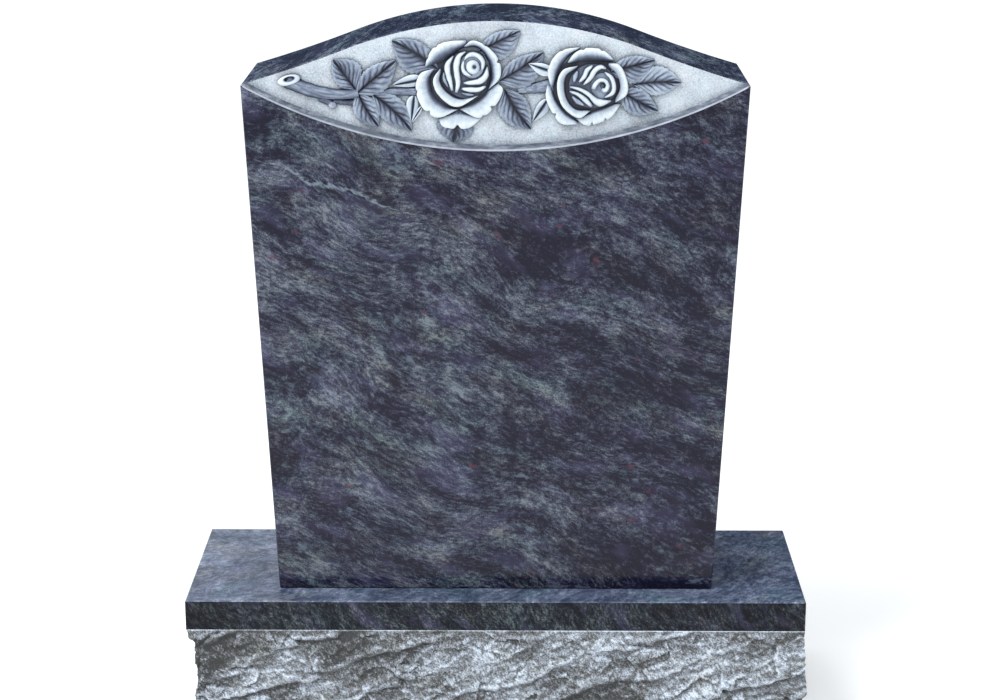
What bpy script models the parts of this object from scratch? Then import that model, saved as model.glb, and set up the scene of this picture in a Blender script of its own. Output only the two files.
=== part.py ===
"""Granite headstone: an upright tablet with a serpentine top, tapered sides and a sunk panel of carved
roses, standing on a base with a polished top and rock-pitched sides.

Metres, +Z up. The origin is the middle of the base's underside, and the front faces -Y.
"""

import math

import bmesh
import bpy
from mathutils import Vector, noise

# Base
BASE_WIDTH = 0.900
BASE_DEPTH = 0.300
BASE_HEIGHT = 0.200
BASE_BAND = 0.045  # polished margin above the rough stone
BASE_ARRIS = 0.0015

# Rock-pitched sides, split in slanting ledges
ROCK_SWELL = 0.001  # how far the rough stone stands out from the band's plane
ROCK_RELIEF = 0.018
ROCK_LEAN = {"front": 0.0, "right": 0.002, "back": 0.0, "left": -0.009}
ROCK_LEDGE_LENGTH = 0.150
ROCK_LEDGE_HEIGHT = 0.050
ROCK_SLANT = math.radians(17)
ROCK_PROFILE = ((0.0, 0.0), (0.10, 0.9), (0.15, 1.0), (0.50, 0.30), (1.0, 0.0))  # share of height, depth
ROCK_PROFILE_SHARE = 0.55  # how much of the relief is ledges; the rest is a broad swell
ROCK_MIDDLE = 0.35  # the relief that lies in the band's plane
ROCK_WANDER = 0.45  # how far the ledges stray, as a share of their height
ROCK_BREAKS = 0.9  # breaks across a ledge, to its length
ROCK_BREAK_LEAN = 0.4
ROCK_SHIFT = 0.5  # how far the ledges jump at a break, as a share of their height
ROCK_STRENGTH = (0.55, 0.9)  # how strong a ledge is, and by how much that varies
ROCK_BROAD = (0.5, 0.7)
ROCK_WANDER_NOISE = ((1.3, 0.6), (0.0, 0.0))  # waves to a ledge along and across it, and where they start
ROCK_STRENGTH_NOISE = ((1.6, 0.8), (5.7, 0.0))
ROCK_BROAD_NOISE = ((0.8, 0.5), (0.0, 9.1))
ROCK_SHEET = 7.3  # keeps the four sides' patterns apart
ROCK_FOOT_FADE = 3  # a side's lean comes in over this many fades
ROCK_STEP = 0.020  # spacing of the points along the sides
ROCK_ROWS = 8
ROCK_FADE = 0.010  # height over which the rough stone leaves the band's plane

# Tablet
TABLET_TOP_WIDTH = 0.705
TABLET_FOOT_WIDTH = 0.634
TABLET_THICKNESS = 0.200
TABLET_HEIGHT = 0.832
CROWN_RADIUS = 0.569  # convex arc over the middle
CROWN_HALF_CHORD = 0.2045  # where the convex arc meets the hollow flanks
FLANK_RADIUS = 1.850
TABLET_ARRIS = 0.0015
SETTING_GAP = 0.0003

# Sunk panel
PANEL_SAG = 0.0908  # how far its lower arc hangs below the shoulders
PANEL_DEPTH = 0.014
PANEL_SLOPE = 0.005  # width of the sloping wall under the panel
CUTTER_MARGIN = 0.020  # how far the block that sinks the panel reaches past the stone
ARC_STEPS = 24

# Carving, drawn on a sheet: x to the right and y down, in one unit
CARVING_UNIT = 0.001386  # the real size of one unit
CARVING_ZERO = (495, 84.3)  # the drawn point on the centre line, level with the shoulders
CARVING_ROOT = 0.004  # how deep each shape is let into the stone behind the panel
MILLIMETRE = 0.001

STONES = {
    "polished": ((0.050, 0.056, 0.078, 1.0), 0.12),
    "base": ((0.110, 0.118, 0.135, 1.0), 0.35),
}

# Petals: name, height of the crest and of the root in millimetres, rim, root. The drawn points run from
# one end of the petal to the other.
ROSE_LEFT = [
    ("heart", 8.0, 8.0, [(447, 60), (446, 78), (456, 94), (474, 95), (486, 88)],
     [(460, 51), (478, 51), (488, 68), (487, 86)]),
    ("back_left", 8.0, 3.5, [(425, 66), (428, 56), (436, 46), (449, 41.5), (466, 40.5)],
     [(428, 68), (446, 60), (460, 50), (467, 47)]),
    ("back_right", 9.0, 4.0, [(464, 46), (473, 40.5), (487, 46.5), (498.5, 60), (500, 77), (489, 89)],
     [(465, 48), (478, 48.5), (488, 62), (490, 77), (487, 90)]),
    ("left", 8.5, 3.5, [(434, 68.5), (420, 74), (415.5, 90), (423, 109), (438, 118), (457, 110)],
     [(434, 70), (430, 81), (434, 96), (446, 106), (458, 109)]),
    ("lower_right", 7.5, 3.5, [(498, 83.5), (502.5, 91), (494, 107), (479, 118.5), (460, 110)],
     [(487, 91), (479, 99), (460, 108.5)]),
    ("lowest", 5.5, 3.0, [(438, 120), (444, 128), (467, 129), (481, 119)],
     [(443, 117), (458, 112), (477, 117)]),
    ("cup", 10.5, 5.0, [(440, 68.5), (433, 80), (438, 95), (456, 107), (478, 96)],
     [(442, 70), (440, 81), (447, 92), (460, 98.5), (477, 95)]),
]

ROSE_RIGHT = [
    ("heart", 7.5, 7.5, [(571, 70), (568, 86), (580, 107), (600, 109)],
     [(592, 63), (612, 72), (617, 90), (612, 104)]),
    ("back_left", 8.0, 3.5, [(579, 47), (562, 50), (552, 59), (547, 71), (550, 86)],
     [(579, 49), (568, 57), (560, 69), (554, 86)]),
    ("left", 7.5, 3.5, [(547, 84), (545.5, 97), (551, 111), (561, 124), (577, 125)],
     [(551, 86), (556, 100), (565, 112), (578, 122)]),
    ("lowest", 6.5, 3.5, [(576, 119), (585, 125.5), (597, 124), (611, 117.5), (620, 105)],
     [(581, 117), (592, 112), (605, 107), (617, 103)]),
    ("back_top", 8.5, 4.0, [(567, 62), (574, 53), (585, 48), (601, 49.5), (613, 59)],
     [(570, 64), (582, 61.5), (596, 61.5), (612, 62)]),
    ("right", 9.5, 4.5, [(608, 63), (619, 65), (626.5, 80), (626.5, 94), (615.5, 102.5)],
     [(607, 66), (615.5, 75), (619, 87), (614, 100)]),
    ("cup", 10.5, 5.0, [(577, 65.5), (562, 70), (556.5, 86), (562, 106), (578, 118), (590, 111)],
     [(576, 68), (565.5, 77), (565.5, 95), (574, 108), (589, 110.5)]),
]

# Folded petals in the hearts: name, height in millimetres, half widths along it, middle line.
HEART_LEFT = [
    ("inside_left", 10.5, (0.8, 2.0, 0.8), [(443.8, 72), (444.3, 79), (448.2, 87)]),
    ("bud_left", 12.0, (0.8, 3.0, 2.7, 1.3),
     [(453.2, 56), (447.8, 64), (447.7, 72), (450, 81), (452.2, 90)]),
    ("bud_fold", 13.0, (0.9, 3.4, 3.0, 1.4),
     [(465.3, 51.6), (459, 56), (456.4, 65), (456.8, 74), (457.9, 83), (456, 92)]),
    ("wrap_lowest", 10.0, (0.8, 1.8, 0.8), [(461, 92.6), (467, 94), (474, 94.6)]),
    ("wrap_low", 11.5, (1.2, 2.7, 2.6, 1.0), [(461.5, 88.4), (469, 89.3), (478, 89.2), (485.3, 86)]),
    ("wrap_high", 12.5, (1.1, 2.4, 3.3, 2.6, 0.9),
     [(463.5, 82.8), (471, 82.2), (479.5, 80.8), (485.4, 75.5), (487, 66.5)]),
    ("bud_top", 14.0, (0.9, 2.3, 2.5, 2.3, 1.2),
     [(464, 59.8), (467.5, 55.6), (473, 53.9), (479, 56.3), (482.7, 62), (481.8, 70)]),
    ("bud_side", 14.0, (1.0, 2.0, 2.2, 0.8), [(463.8, 60), (462.6, 66), (464.6, 71.8), (471.5, 76)]),
]

HEART_RIGHT = [
    ("bud_back", 10.0, (0.8, 2.4, 1.2), [(577, 70.5), (574.8, 76), (573.5, 82)]),
    ("bud_left", 12.0, (1.0, 2.5, 2.3, 1.0), [(591.8, 65.2), (586.5, 69.8), (583.8, 76), (578.5, 81.8)]),
    ("bud_fold", 13.0, (1.0, 2.4, 2.7, 2.2, 0.9),
     [(605, 68.2), (600, 66.4), (594, 70), (589.8, 77), (583, 84.2)]),
    ("wrap_outer", 10.0, (1.0, 2.7, 1.2), [(572, 96), (577, 101), (583.8, 105)]),
    ("wrap_middle", 11.5, (1.0, 2.0, 2.7, 1.8), [(569.3, 91), (577, 93.6), (584, 98.8), (591.5, 106)]),
    ("wrap_inner", 12.5, (0.9, 1.7, 2.3, 4.0, 0.9),
     [(569.5, 86.4), (579, 88.8), (588, 93.8), (598, 102), (610.5, 100.5)]),
    ("bud_right", 13.5, (0.9, 2.1, 2.3, 2.1, 0.9),
     [(604, 71.6), (610.3, 77), (613, 84.5), (612, 92), (604.5, 97)]),
    ("bud_curl", 14.5, (2.4, 2.2, 2.1, 2.2, 2.4),
     [(592.6, 88.5), (595.2, 83), (599.5, 79.4), (604.6, 80.3), (607, 85), (604.8, 89.6), (601, 88.4)]),
]

# Leaves and sepals: name, height of the edge, swell of the blade in millimetres, base, tip, then in drawn
# units how far the rib bows to the left and how wide each half is, and where along it the blade is widest.
# Left and right are those of someone looking from the base to the tip.
LEAVES = [
    ("behind_left", 2.0, 3.0, (438, 70), (392, 41), -2.0, 21.0, 12.0, 0.5),
    ("behind_top", 2.0, 3.0, (478, 52), (520, 31), 0.0, 9.5, 18.0, 0.45),
    ("middle_top", 3.0, 3.5, (499, 81), (543, 52), -1.5, 11.5, 19.0, 0.44),
    ("middle_low", 2.5, 3.5, (504, 89), (531, 130), -2.0, 14.5, 16.5, 0.45),
    ("under_rose", 1.5, 2.5, (459, 110), (453, 143.5), 0.0, 17.0, 19.0, 0.58),
    ("group_low_right", 2.5, 3.5, (371, 94), (411, 132), 2.5, 13.5, 13.5, 0.47),
    ("group_low_left", 3.0, 3.5, (357, 92), (378, 127.5), -1.5, 12.0, 13.0, 0.48),
    ("group_top_left", 2.5, 3.5, (356, 91), (333, 60), 0.0, 12.0, 18.5, 0.48),
    ("group_top_right", 4.0, 4.0, (356, 94), (396, 60.5), 0.0, 12.0, 15.5, 0.46),
    ("end_far", 2.0, 3.0, (632, 85), (681, 83), 1.5, 16.5, 13.0, 0.5),
    ("end_top", 3.0, 3.5, (610, 72), (654, 60), 0.0, 10.5, 17.0, 0.44),
    ("end_low", 3.0, 3.5, (620, 90), (658, 111), -1.5, 12.5, 14.5, 0.46),
    ("sepal_left_high", 3.0, 2.5, (423, 80), (391, 86), 0.0, 5.0, 7.0, 0.34),
    ("sepal_left_low", 2.5, 2.5, (414, 96), (410.5, 124), 0.0, 5.0, 7.0, 0.32),
    ("sepal_left_last", 3.0, 2.5, (422, 106), (410.5, 124), 0.0, 2.5, 2.5, 0.4),
    ("sepal_middle_high", 3.0, 2.5, (553, 72), (528, 63.5), 0.0, 7.0, 5.0, 0.38),
    ("sepal_middle_low", 2.5, 2.5, (548, 99), (532, 123), 0.0, 6.5, 5.5, 0.38),
]

# Stems: name, height in millimetres, start, end, bow to the left, half width at the start and at the end.
STEMS = [
    ("twig", 4.0, (333, 101.5), (358, 103), -1.0, 2.8, 3.2),
    ("to_left_rose", 4.5, (376, 92.5), (424, 92), 0.0, 3.5, 4.6),
    ("between_roses", 4.5, (518, 91), (552, 86), 0.0, 3.5, 7.5),
    ("spur", 4.5, (320, 98), (332, 105), 0.0, 4.8, 3.2),
    ("main", 8.0, (287, 81), (358, 93.5), -6.5, 7.8, 4.6),
]

# Rings and bosses: name, height, centre, half width, half height, share that is open, tilt.
BOSSES = [
    ("rose_left_eye", 14.5, (472.7, 66.6), 7.4, 7.7, 0.24, 0.0),
    ("stem_cut_end", 9.5, (288.8, 80.3), 11.8, 5.3, 0.42, math.radians(14)),
    ("thorn", 5.5, (331.8, 105.8), 4.2, 3.6, 0.02, 0.0),
]

# How finely each kind of shape is divided, and how its height runs from one edge to the other
PETAL_COLUMN = 9.0  # drawn length of rim to each column of faces
PETAL_FEWEST_COLUMNS = 5
PETAL_CREST = 0.82  # share of the way out from root to rim
PETAL_ACROSS = (0.0, 0.45, PETAL_CREST, 1.0)
PETAL_ROLL = 0.22  # how much of its crest the rim rolls down
LEAF_COLUMNS = 7
LEAF_ACROSS = (-1.0, -0.5, 0.0, 0.5, 1.0)
LEAF_RIB_DEPTH = 0.55  # how far the rib sinks into the blade's swell
LEAF_ENDS = 0.02  # the blade stops this share short of its two points
LEAF_FULLNESS = 0.9
LEAF_SWELL = (0.2, 0.9)  # from base to tip, the part of a half wave that the swell follows
RIDGE_COLUMN = 4.0
RIDGE_ACROSS = (-1.0, -0.5, 0.5, 1.0)
RIDGE_FOOT = 0.55  # height of a fold's edges, as a share of its crown
RIDGE_SPREAD = 1.14
RIDGE_PROBE = 0.03  # share of its length over which a fold's direction is read
STEM_COLUMNS = 6
STEM_ACROSS = (-1.0, -0.6, 0.0, 0.6, 1.0)
STEM_EDGE = 0.28  # height of a stem's edges, as a share of its crown
BOSS_COLUMNS = 10
BOSS_ACROSS = (0.0, 0.6, 1.0)
EDGE_DROP = 0.35  # how far blades and bosses fall towards their edges


def clear_scene():
    for obj in list(bpy.data.objects):
        bpy.data.objects.remove(obj)


def new_collection(name, parent):
    collection = bpy.data.collections.new(name)
    parent.children.link(collection)
    return collection


def stone_material(name):
    colour, roughness = STONES[name]
    material = bpy.data.materials.new("granite_" + name)
    material.use_nodes = True
    shader = material.node_tree.nodes["Principled BSDF"]
    shader.inputs["Base Color"].default_value = colour
    shader.inputs["Roughness"].default_value = roughness
    shader.inputs["Metallic"].default_value = 0.0
    return material


def object_from(bm, name, collection):
    """A named object from a bmesh, with its faces turned outwards."""
    bmesh.ops.recalc_face_normals(bm, faces=bm.faces)
    mesh = bpy.data.meshes.new(name)
    bm.to_mesh(mesh)
    bm.free()
    obj = bpy.data.objects.new(name, mesh)
    collection.objects.link(obj)
    return obj


def mark_as_helper(obj):
    obj.hide_render = True
    obj.display_type = "WIRE"


# Tablet


def top_height(off_centre):
    """Height of the serpentine top above the base's underside, at a distance from the centre line."""
    off = abs(off_centre)
    crown = BASE_HEIGHT + SETTING_GAP + TABLET_HEIGHT
    if off <= CROWN_HALF_CHORD:
        return crown - CROWN_RADIUS + math.sqrt(CROWN_RADIUS**2 - off**2)
    lean = math.asin(CROWN_HALF_CHORD / CROWN_RADIUS)
    turn = math.asin(math.sin(lean) - (off - CROWN_HALF_CHORD) / FLANK_RADIUS)
    return crown - CROWN_RADIUS * (1 - math.cos(lean)) - FLANK_RADIUS * (math.cos(turn) - math.cos(lean))


SHOULDER = top_height(TABLET_TOP_WIDTH / 2)
TABLET_FRONT = -TABLET_THICKNESS / 2
PANEL_FACE = TABLET_FRONT + PANEL_DEPTH


def across_the_top():
    """Evenly spaced distances from the centre line, from shoulder to shoulder."""
    half = TABLET_TOP_WIDTH / 2
    return [half * (i / ARC_STEPS - 1) for i in range(2 * ARC_STEPS + 1)]


def loft(rings, name, collection):
    """A closed solid through rings of points, capped at its first and its last ring."""
    bm = bmesh.new()
    loops = [[bm.verts.new(point) for point in ring] for ring in rings]
    for here, there in zip(loops, loops[1:]):
        for i in range(len(here)):
            j = (i + 1) % len(here)
            bm.faces.new((here[i], here[j], there[j], there[i]))
    bm.faces.new(loops[0])
    bm.faces.new(loops[-1])
    return object_from(bm, name, collection)


def tablet_outline():
    """The front outline from the left foot round the serpentine top to the right foot, as (x, z)."""
    foot = BASE_HEIGHT + SETTING_GAP
    half_foot = TABLET_FOOT_WIDTH / 2
    return [(-half_foot, foot), *((x, top_height(x)) for x in across_the_top()), (half_foot, foot)]


def panel_outline(drop):
    """The panel's outline, open above: its lower arc from shoulder to shoulder, hung lower by drop."""
    half = TABLET_TOP_WIDTH / 2
    radius = (half**2 + PANEL_SAG**2) / (2 * PANEL_SAG)
    over = CUTTER_MARGIN
    lid = top_height(0) + CUTTER_MARGIN
    arc = [(x, SHOULDER + radius - PANEL_SAG - math.sqrt(radius**2 - x**2) - drop) for x in across_the_top()]
    ends = [(-half - over, lid), (-half - over, arc[0][1])], [(half + over, arc[-1][1]), (half + over, lid)]
    return [*ends[0], *arc, *ends[1]]


def panel_cutter(collection):
    """A block over the panel whose underside slopes from the panel's face out past the tablet's front."""
    rings = []
    for forward in (0.0, 2 * PANEL_DEPTH):
        drop = PANEL_SLOPE * (forward / PANEL_DEPTH - 1)
        rings.append([(x, PANEL_FACE - forward, z) for x, z in panel_outline(drop)])
    cutter = loft(rings, "panel_cutter", collection)
    mark_as_helper(cutter)
    return cutter


def build_tablet(parts, helpers):
    """The tapered stone, with its arrises eased, its panel sunk and its carving raised."""
    outline = tablet_outline()
    tablet = loft([[(x, y, z) for x, z in outline] for y in (TABLET_FRONT, -TABLET_FRONT)], "tablet", parts)
    tablet.data.materials.append(stone_material("polished"))
    arris = tablet.modifiers.new("arris", "BEVEL")
    arris.width = TABLET_ARRIS
    arris.segments = 1
    arris.limit_method = "ANGLE"
    arris.angle_limit = math.radians(40)
    sink = tablet.modifiers.new("sink_panel", "BOOLEAN")
    sink.operation = "DIFFERENCE"
    sink.object = panel_cutter(helpers)
    carving = new_collection("carving", helpers)
    carve_everything(carving)
    add = tablet.modifiers.new("raise_carving", "BOOLEAN")
    add.operation = "UNION"
    add.operand_type = "COLLECTION"
    add.collection = carving


# Carving


def catmull_rom(points, steps):
    """Points along a smooth curve through the given ones, steps to each span."""
    ends = [2 * points[0] - points[1], *points, 2 * points[-1] - points[-2]]
    path = []
    for before, start, end, after in zip(ends, ends[1:], ends[2:], ends[3:]):
        for step in range(steps):
            t = step / steps
            path.append(
                start
                + (end - before) * (t / 2)
                + (before * 2 - start * 5 + end * 4 - after) * (t * t / 2)
                + (start * 3 - before - end * 3 + after) * (t**3 / 2)
            )
    path.append(points[-1])
    return path


class Path:
    """A smooth line through drawn points, read at a share of its length."""

    def __init__(self, points):
        self.points = catmull_rom([Vector(p) for p in points], 8)
        self.reach = [0.0]
        for a, b in zip(self.points, self.points[1:]):
            self.reach.append(self.reach[-1] + (b - a).length)
        self.length = self.reach[-1]

    def at(self, share):
        goal = share * self.length
        for i, far in enumerate(self.reach[1:]):
            if far >= goal:
                t = (goal - self.reach[i]) / (far - self.reach[i])
                return self.points[i].lerp(self.points[i + 1], t)
        return self.points[-1]


def bowed_line(start, end, bow):
    """The points and left-hand normals of a line from start to end that bows to the left."""
    start, end = Vector(start), Vector(end)
    along = end - start
    left = Vector((along.y, -along.x)).normalized()

    def at(share):
        slope = 4 * bow * (1 - 2 * share)
        point = start + along * share + left * (4 * bow * share * (1 - share))
        normal = (left * along.length - along.normalized() * slope).normalized()
        return point, normal

    return at


def on_panel(drawn, millimetres):
    """A drawn point as a place on the panel, raised towards the front."""
    x = (drawn[0] - CARVING_ZERO[0]) * CARVING_UNIT
    z = SHOULDER - (drawn[1] - CARVING_ZERO[1]) * CARVING_UNIT
    return Vector((x, PANEL_FACE - millimetres * MILLIMETRE, z))


def carved_sheet(name, columns, across, surface, collection, closed=False):
    """The solid under a raised sheet. surface(s, t) gives a drawn point and its height, for s along the
    shape and each t in across."""
    bm = bmesh.new()
    bmesh.ops.create_grid(bm, x_segments=columns, y_segments=len(across) - 1, size=0.5)
    for vert in bm.verts:
        s = round((vert.co.x + 0.5) * columns) / columns
        t = across[round((vert.co.y + 0.5) * (len(across) - 1))]
        vert.co = on_panel(*surface(s, t))
    if closed:
        bmesh.ops.remove_doubles(bm, verts=bm.verts, dist=1e-6)
    sunk = bmesh.ops.extrude_face_region(bm, geom=bm.faces[:])
    for item in sunk["geom"]:
        if isinstance(item, bmesh.types.BMVert):
            item.co.y = PANEL_FACE + CARVING_ROOT
    mark_as_helper(object_from(bm, name, collection))


def petal(name, crest, root_height, rim_points, root_points, collection):
    """A petal that rises from its root to a crest near its rim, then rolls over."""
    rim, root = Path(rim_points), Path(root_points)

    def surface(s, t):
        if t <= PETAL_CREST:
            height = root_height + (crest - root_height) * math.sin(t / PETAL_CREST * math.pi / 2)
        else:
            height = crest * (1 - PETAL_ROLL * ((t - PETAL_CREST) / (1 - PETAL_CREST)) ** 2)
        return root.at(s).lerp(rim.at(s), t), height

    columns = max(PETAL_FEWEST_COLUMNS, round(rim.length / PETAL_COLUMN))
    carved_sheet(name, columns, PETAL_ACROSS, surface, collection)


def between(values, share):
    """A value read at a share of the way through evenly spaced ones."""
    place = share * (len(values) - 1)
    first = min(int(place), len(values) - 2)
    return values[first] + (values[first + 1] - values[first]) * (place - first)


def ridge(name, crown, half_widths, points, collection):
    """A rounded fold along a curved middle line."""
    middle = Path(points)

    def surface(s, t):
        ahead = middle.at(min(s + RIDGE_PROBE, 1)) - middle.at(max(s - RIDGE_PROBE, 0))
        side = Vector((ahead.y, -ahead.x)).normalized()
        width = RIDGE_SPREAD * between(half_widths, s)
        height = crown * (RIDGE_FOOT + (1 - RIDGE_FOOT) * math.cos(t * math.pi / 2))
        return middle.at(s) + side * (width * t), height

    columns = max(PETAL_FEWEST_COLUMNS, round(middle.length / RIDGE_COLUMN))
    carved_sheet(name, columns, RIDGE_ACROSS, surface, collection)


def leaf(name, edge, swell, base, tip, bow, left, right, widest, collection):
    """A blade of two swelling halves, with a sunk rib between them."""
    rib = bowed_line(base, tip, bow)
    skew = math.log(0.5) / math.log(widest)

    def surface(s, t):
        share = LEAF_ENDS + (1 - 2 * LEAF_ENDS) * s
        point, normal = rib(share)
        width = math.sin(math.pi * share**skew) ** LEAF_FULLNESS * (left if t < 0 else right)
        hollow = 1 - LEAF_RIB_DEPTH * (1 - min(abs(t) * 2, 1)) ** 2
        rounded = hollow * (1 - (1 - EDGE_DROP) * max(abs(t) * 2 - 1, 0) ** 2)
        wave = LEAF_SWELL[0] + (LEAF_SWELL[1] - LEAF_SWELL[0]) * share
        height = edge + swell * rounded * math.sin(math.pi * wave)
        return point - normal * (width * t), height

    carved_sheet(name, LEAF_COLUMNS, LEAF_ACROSS, surface, collection)


def stem(name, crown, start, end, bow, start_width, end_width, collection):
    rib = bowed_line(start, end, bow)

    def surface(s, t):
        point, normal = rib(s)
        width = start_width + (end_width - start_width) * s
        height = crown * (STEM_EDGE + (1 - STEM_EDGE) * math.cos(t * math.pi / 2))
        return point - normal * (width * t), height

    carved_sheet(name, STEM_COLUMNS, STEM_ACROSS, surface, collection)


def boss(name, crest, centre, wide, tall, opening, tilt, collection):
    """An oval boss, or a ring where a share of it is open."""

    def surface(s, t):
        angle = 2 * math.pi * s
        size = opening + (1 - opening) * t
        x, y = wide * size * math.cos(angle), tall * size * math.sin(angle)
        turned = Vector((x * math.cos(tilt) + y * math.sin(tilt), y * math.cos(tilt) - x * math.sin(tilt)))
        return Vector(centre) + turned, crest * (1 - EDGE_DROP * t**4)

    carved_sheet(name, BOSS_COLUMNS, BOSS_ACROSS, surface, collection, closed=True)


def carve_everything(collection):
    for rose, petals, folds in (
        ("rose_left", ROSE_LEFT, HEART_LEFT),
        ("rose_right", ROSE_RIGHT, HEART_RIGHT),
    ):
        for name, *shape in petals:
            petal(f"{rose}_{name}", *shape, collection)
        for name, *shape in folds:
            ridge(f"{rose}_{name}", *shape, collection)
    for name, *shape in LEAVES:
        leaf("leaf_" + name, *shape, collection)
    for name, *shape in STEMS:
        stem("stem_" + name, *shape, collection)
    for name, *shape in BOSSES:
        boss(name, *shape, collection)


# Base


def ledge_depth(phase):
    """How far a ledge stands out at a share of its height above the one below."""
    for (low, low_depth), (high, high_depth) in zip(ROCK_PROFILE, ROCK_PROFILE[1:]):
        if phase <= high:
            return low_depth + (high_depth - low_depth) * (phase - low) / (high - low)
    return ROCK_PROFILE[-1][1]


def ledge_noise(long, short, sheet, waves):
    """Smooth noise, about -1 to 1, at a place counted in ledges."""
    (pitch_long, pitch_short), (start_long, start_short) = waves
    return noise.noise(Vector((pitch_long * long + start_long, pitch_short * short + start_short, sheet)))


def ledges(along, height, sheet):
    """0 to 1: split stone in slanting ledges, each a shelf that tilts up from its edge, over a steep
    undercut. The ledges end where the stone broke across."""
    cos, sin = math.cos(ROCK_SLANT), math.sin(ROCK_SLANT)
    long = (along * cos + height * sin) / ROCK_LEDGE_LENGTH
    short = (height * cos - along * sin) / ROCK_LEDGE_HEIGHT
    wander = ledge_noise(long, short, sheet, ROCK_WANDER_NOISE)
    broken = noise.cell(Vector((ROCK_BREAKS * long + ROCK_BREAK_LEAN * short + wander, sheet, 0.5)))
    phase = (short + ROCK_WANDER * wander + ROCK_SHIFT * broken) % 1.0
    strength = ROCK_STRENGTH[0] + ROCK_STRENGTH[1] * ledge_noise(long, short, sheet, ROCK_STRENGTH_NOISE)
    broad = ROCK_BROAD[0] + ROCK_BROAD[1] * ledge_noise(long, short, sheet, ROCK_BROAD_NOISE)
    profile = ledge_depth(phase) * max(strength, 0.0)
    return ROCK_PROFILE_SHARE * profile + (1 - ROCK_PROFILE_SHARE) * broad


def rock_depth(side, along, height):
    """How far the rough stone stands out from the polished band's plane, at a place on one side."""
    drop = BASE_HEIGHT - BASE_BAND - height
    sheet = ROCK_SHEET * list(ROCK_LEAN).index(side)
    rough = ROCK_SWELL + ROCK_RELIEF * (ledges(along, height, sheet) - ROCK_MIDDLE)
    lean = ROCK_LEAN[side] * min(drop / (ROCK_FOOT_FADE * ROCK_FADE), 1.0)
    return rough * min(drop / ROCK_FADE, 1.0) + lean


def points_round_base():
    """Each point round the base from corner to corner, with the sides it lies on and their outward ways."""
    half_x, half_y = BASE_WIDTH / 2, BASE_DEPTH / 2
    signs = ((-1, -1), (1, -1), (1, 1), (-1, 1))
    corners = [Vector((half_x * sign_x, half_y * sign_y)) for sign_x, sign_y in signs]
    outwards = [Vector(way) for way in ((0, -1), (1, 0), (0, 1), (-1, 0))]
    sides = list(zip(ROCK_LEAN, outwards))
    points = []
    for i, corner in enumerate(corners):
        run = corners[(i + 1) % 4] - corner
        count = round(run.length / ROCK_STEP)
        points.append((corner, [sides[i - 1], sides[i]]))
        points += [(corner + run * (k / count), [sides[i]]) for k in range(1, count)]
    return points


def base_ring(height, moved):
    """The ring of points at one height, each moved outwards by moved(side, along)."""
    ring = []
    for place, sides in points_round_base():
        point = place.copy()
        for side, outward in sides:
            along = place.x if side in ("front", "back") else place.y
            point += outward * moved(side, along)
        ring.append((point.x, point.y, height))
    return ring


def build_base(parts):
    """Rings from the polished top, down over its band and the rough stone to the flat underside."""
    rough_top = BASE_HEIGHT - BASE_BAND
    fade_end = rough_top - ROCK_FADE / 2
    rings = [
        base_ring(BASE_HEIGHT, lambda side, along: -BASE_ARRIS),
        base_ring(BASE_HEIGHT - BASE_ARRIS, lambda side, along: 0.0),
        base_ring(rough_top, lambda side, along: 0.0),
    ]
    for row in range(ROCK_ROWS + 1):
        height = fade_end * (1 - row / ROCK_ROWS)
        rings.append(base_ring(height, lambda side, along: rock_depth(side, along, height)))
    base = loft(rings, "base", parts)
    base.data.materials.append(stone_material("base"))


def main():
    clear_scene()
    root = bpy.context.scene.collection
    parts = new_collection("granite_headstone", root)
    helpers = new_collection("helpers", root)
    build_base(parts)
    build_tablet(parts, helpers)


main()
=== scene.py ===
"""Looks of the granite headstone: polished and frosted stone, the carved spray of roses and the
rock-pitched base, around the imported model. Metres, +Z up, the front faces -Y.
"""

import math

import bmesh
import bpy
import numpy as np
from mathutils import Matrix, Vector, noise


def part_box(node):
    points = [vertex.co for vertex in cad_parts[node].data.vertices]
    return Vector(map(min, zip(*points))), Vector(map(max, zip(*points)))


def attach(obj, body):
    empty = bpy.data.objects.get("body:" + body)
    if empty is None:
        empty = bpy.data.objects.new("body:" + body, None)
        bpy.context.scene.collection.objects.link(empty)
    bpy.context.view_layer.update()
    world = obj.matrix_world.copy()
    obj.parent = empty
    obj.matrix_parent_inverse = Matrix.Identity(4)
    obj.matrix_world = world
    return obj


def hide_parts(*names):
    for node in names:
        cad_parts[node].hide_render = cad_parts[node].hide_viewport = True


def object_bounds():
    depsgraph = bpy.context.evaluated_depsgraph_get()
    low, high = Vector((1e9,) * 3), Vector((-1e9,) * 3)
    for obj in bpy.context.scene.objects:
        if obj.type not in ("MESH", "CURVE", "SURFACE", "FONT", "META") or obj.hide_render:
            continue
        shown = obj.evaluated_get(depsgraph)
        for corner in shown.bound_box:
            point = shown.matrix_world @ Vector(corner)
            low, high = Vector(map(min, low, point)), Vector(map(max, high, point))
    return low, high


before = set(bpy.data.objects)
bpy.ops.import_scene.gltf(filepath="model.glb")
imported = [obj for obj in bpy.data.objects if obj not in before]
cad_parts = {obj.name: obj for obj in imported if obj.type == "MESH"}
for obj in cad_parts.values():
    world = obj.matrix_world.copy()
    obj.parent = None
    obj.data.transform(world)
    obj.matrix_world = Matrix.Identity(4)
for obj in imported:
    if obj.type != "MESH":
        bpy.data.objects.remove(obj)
cad_low, cad_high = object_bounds()

# Sizes of the stones, as in the model
BASE_WIDTH = 0.900
BASE_DEPTH = 0.300
BASE_BAND = 0.045
BASE_ARRIS = 0.0015
TABLET_TOP_WIDTH = 0.705
TABLET_FOOT_WIDTH = 0.634
TABLET_THICKNESS = 0.200
CROWN_RADIUS = 0.569
CROWN_HALF_CHORD = 0.2045
FLANK_RADIUS = 1.850
TABLET_ARRIS = 0.0015
PANEL_SAG = 0.0908
PANEL_DEPTH = 0.014
PANEL_SLOPE = 0.005
PANEL_ARRIS = 0.0019
ARC_STEPS = 110

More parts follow.
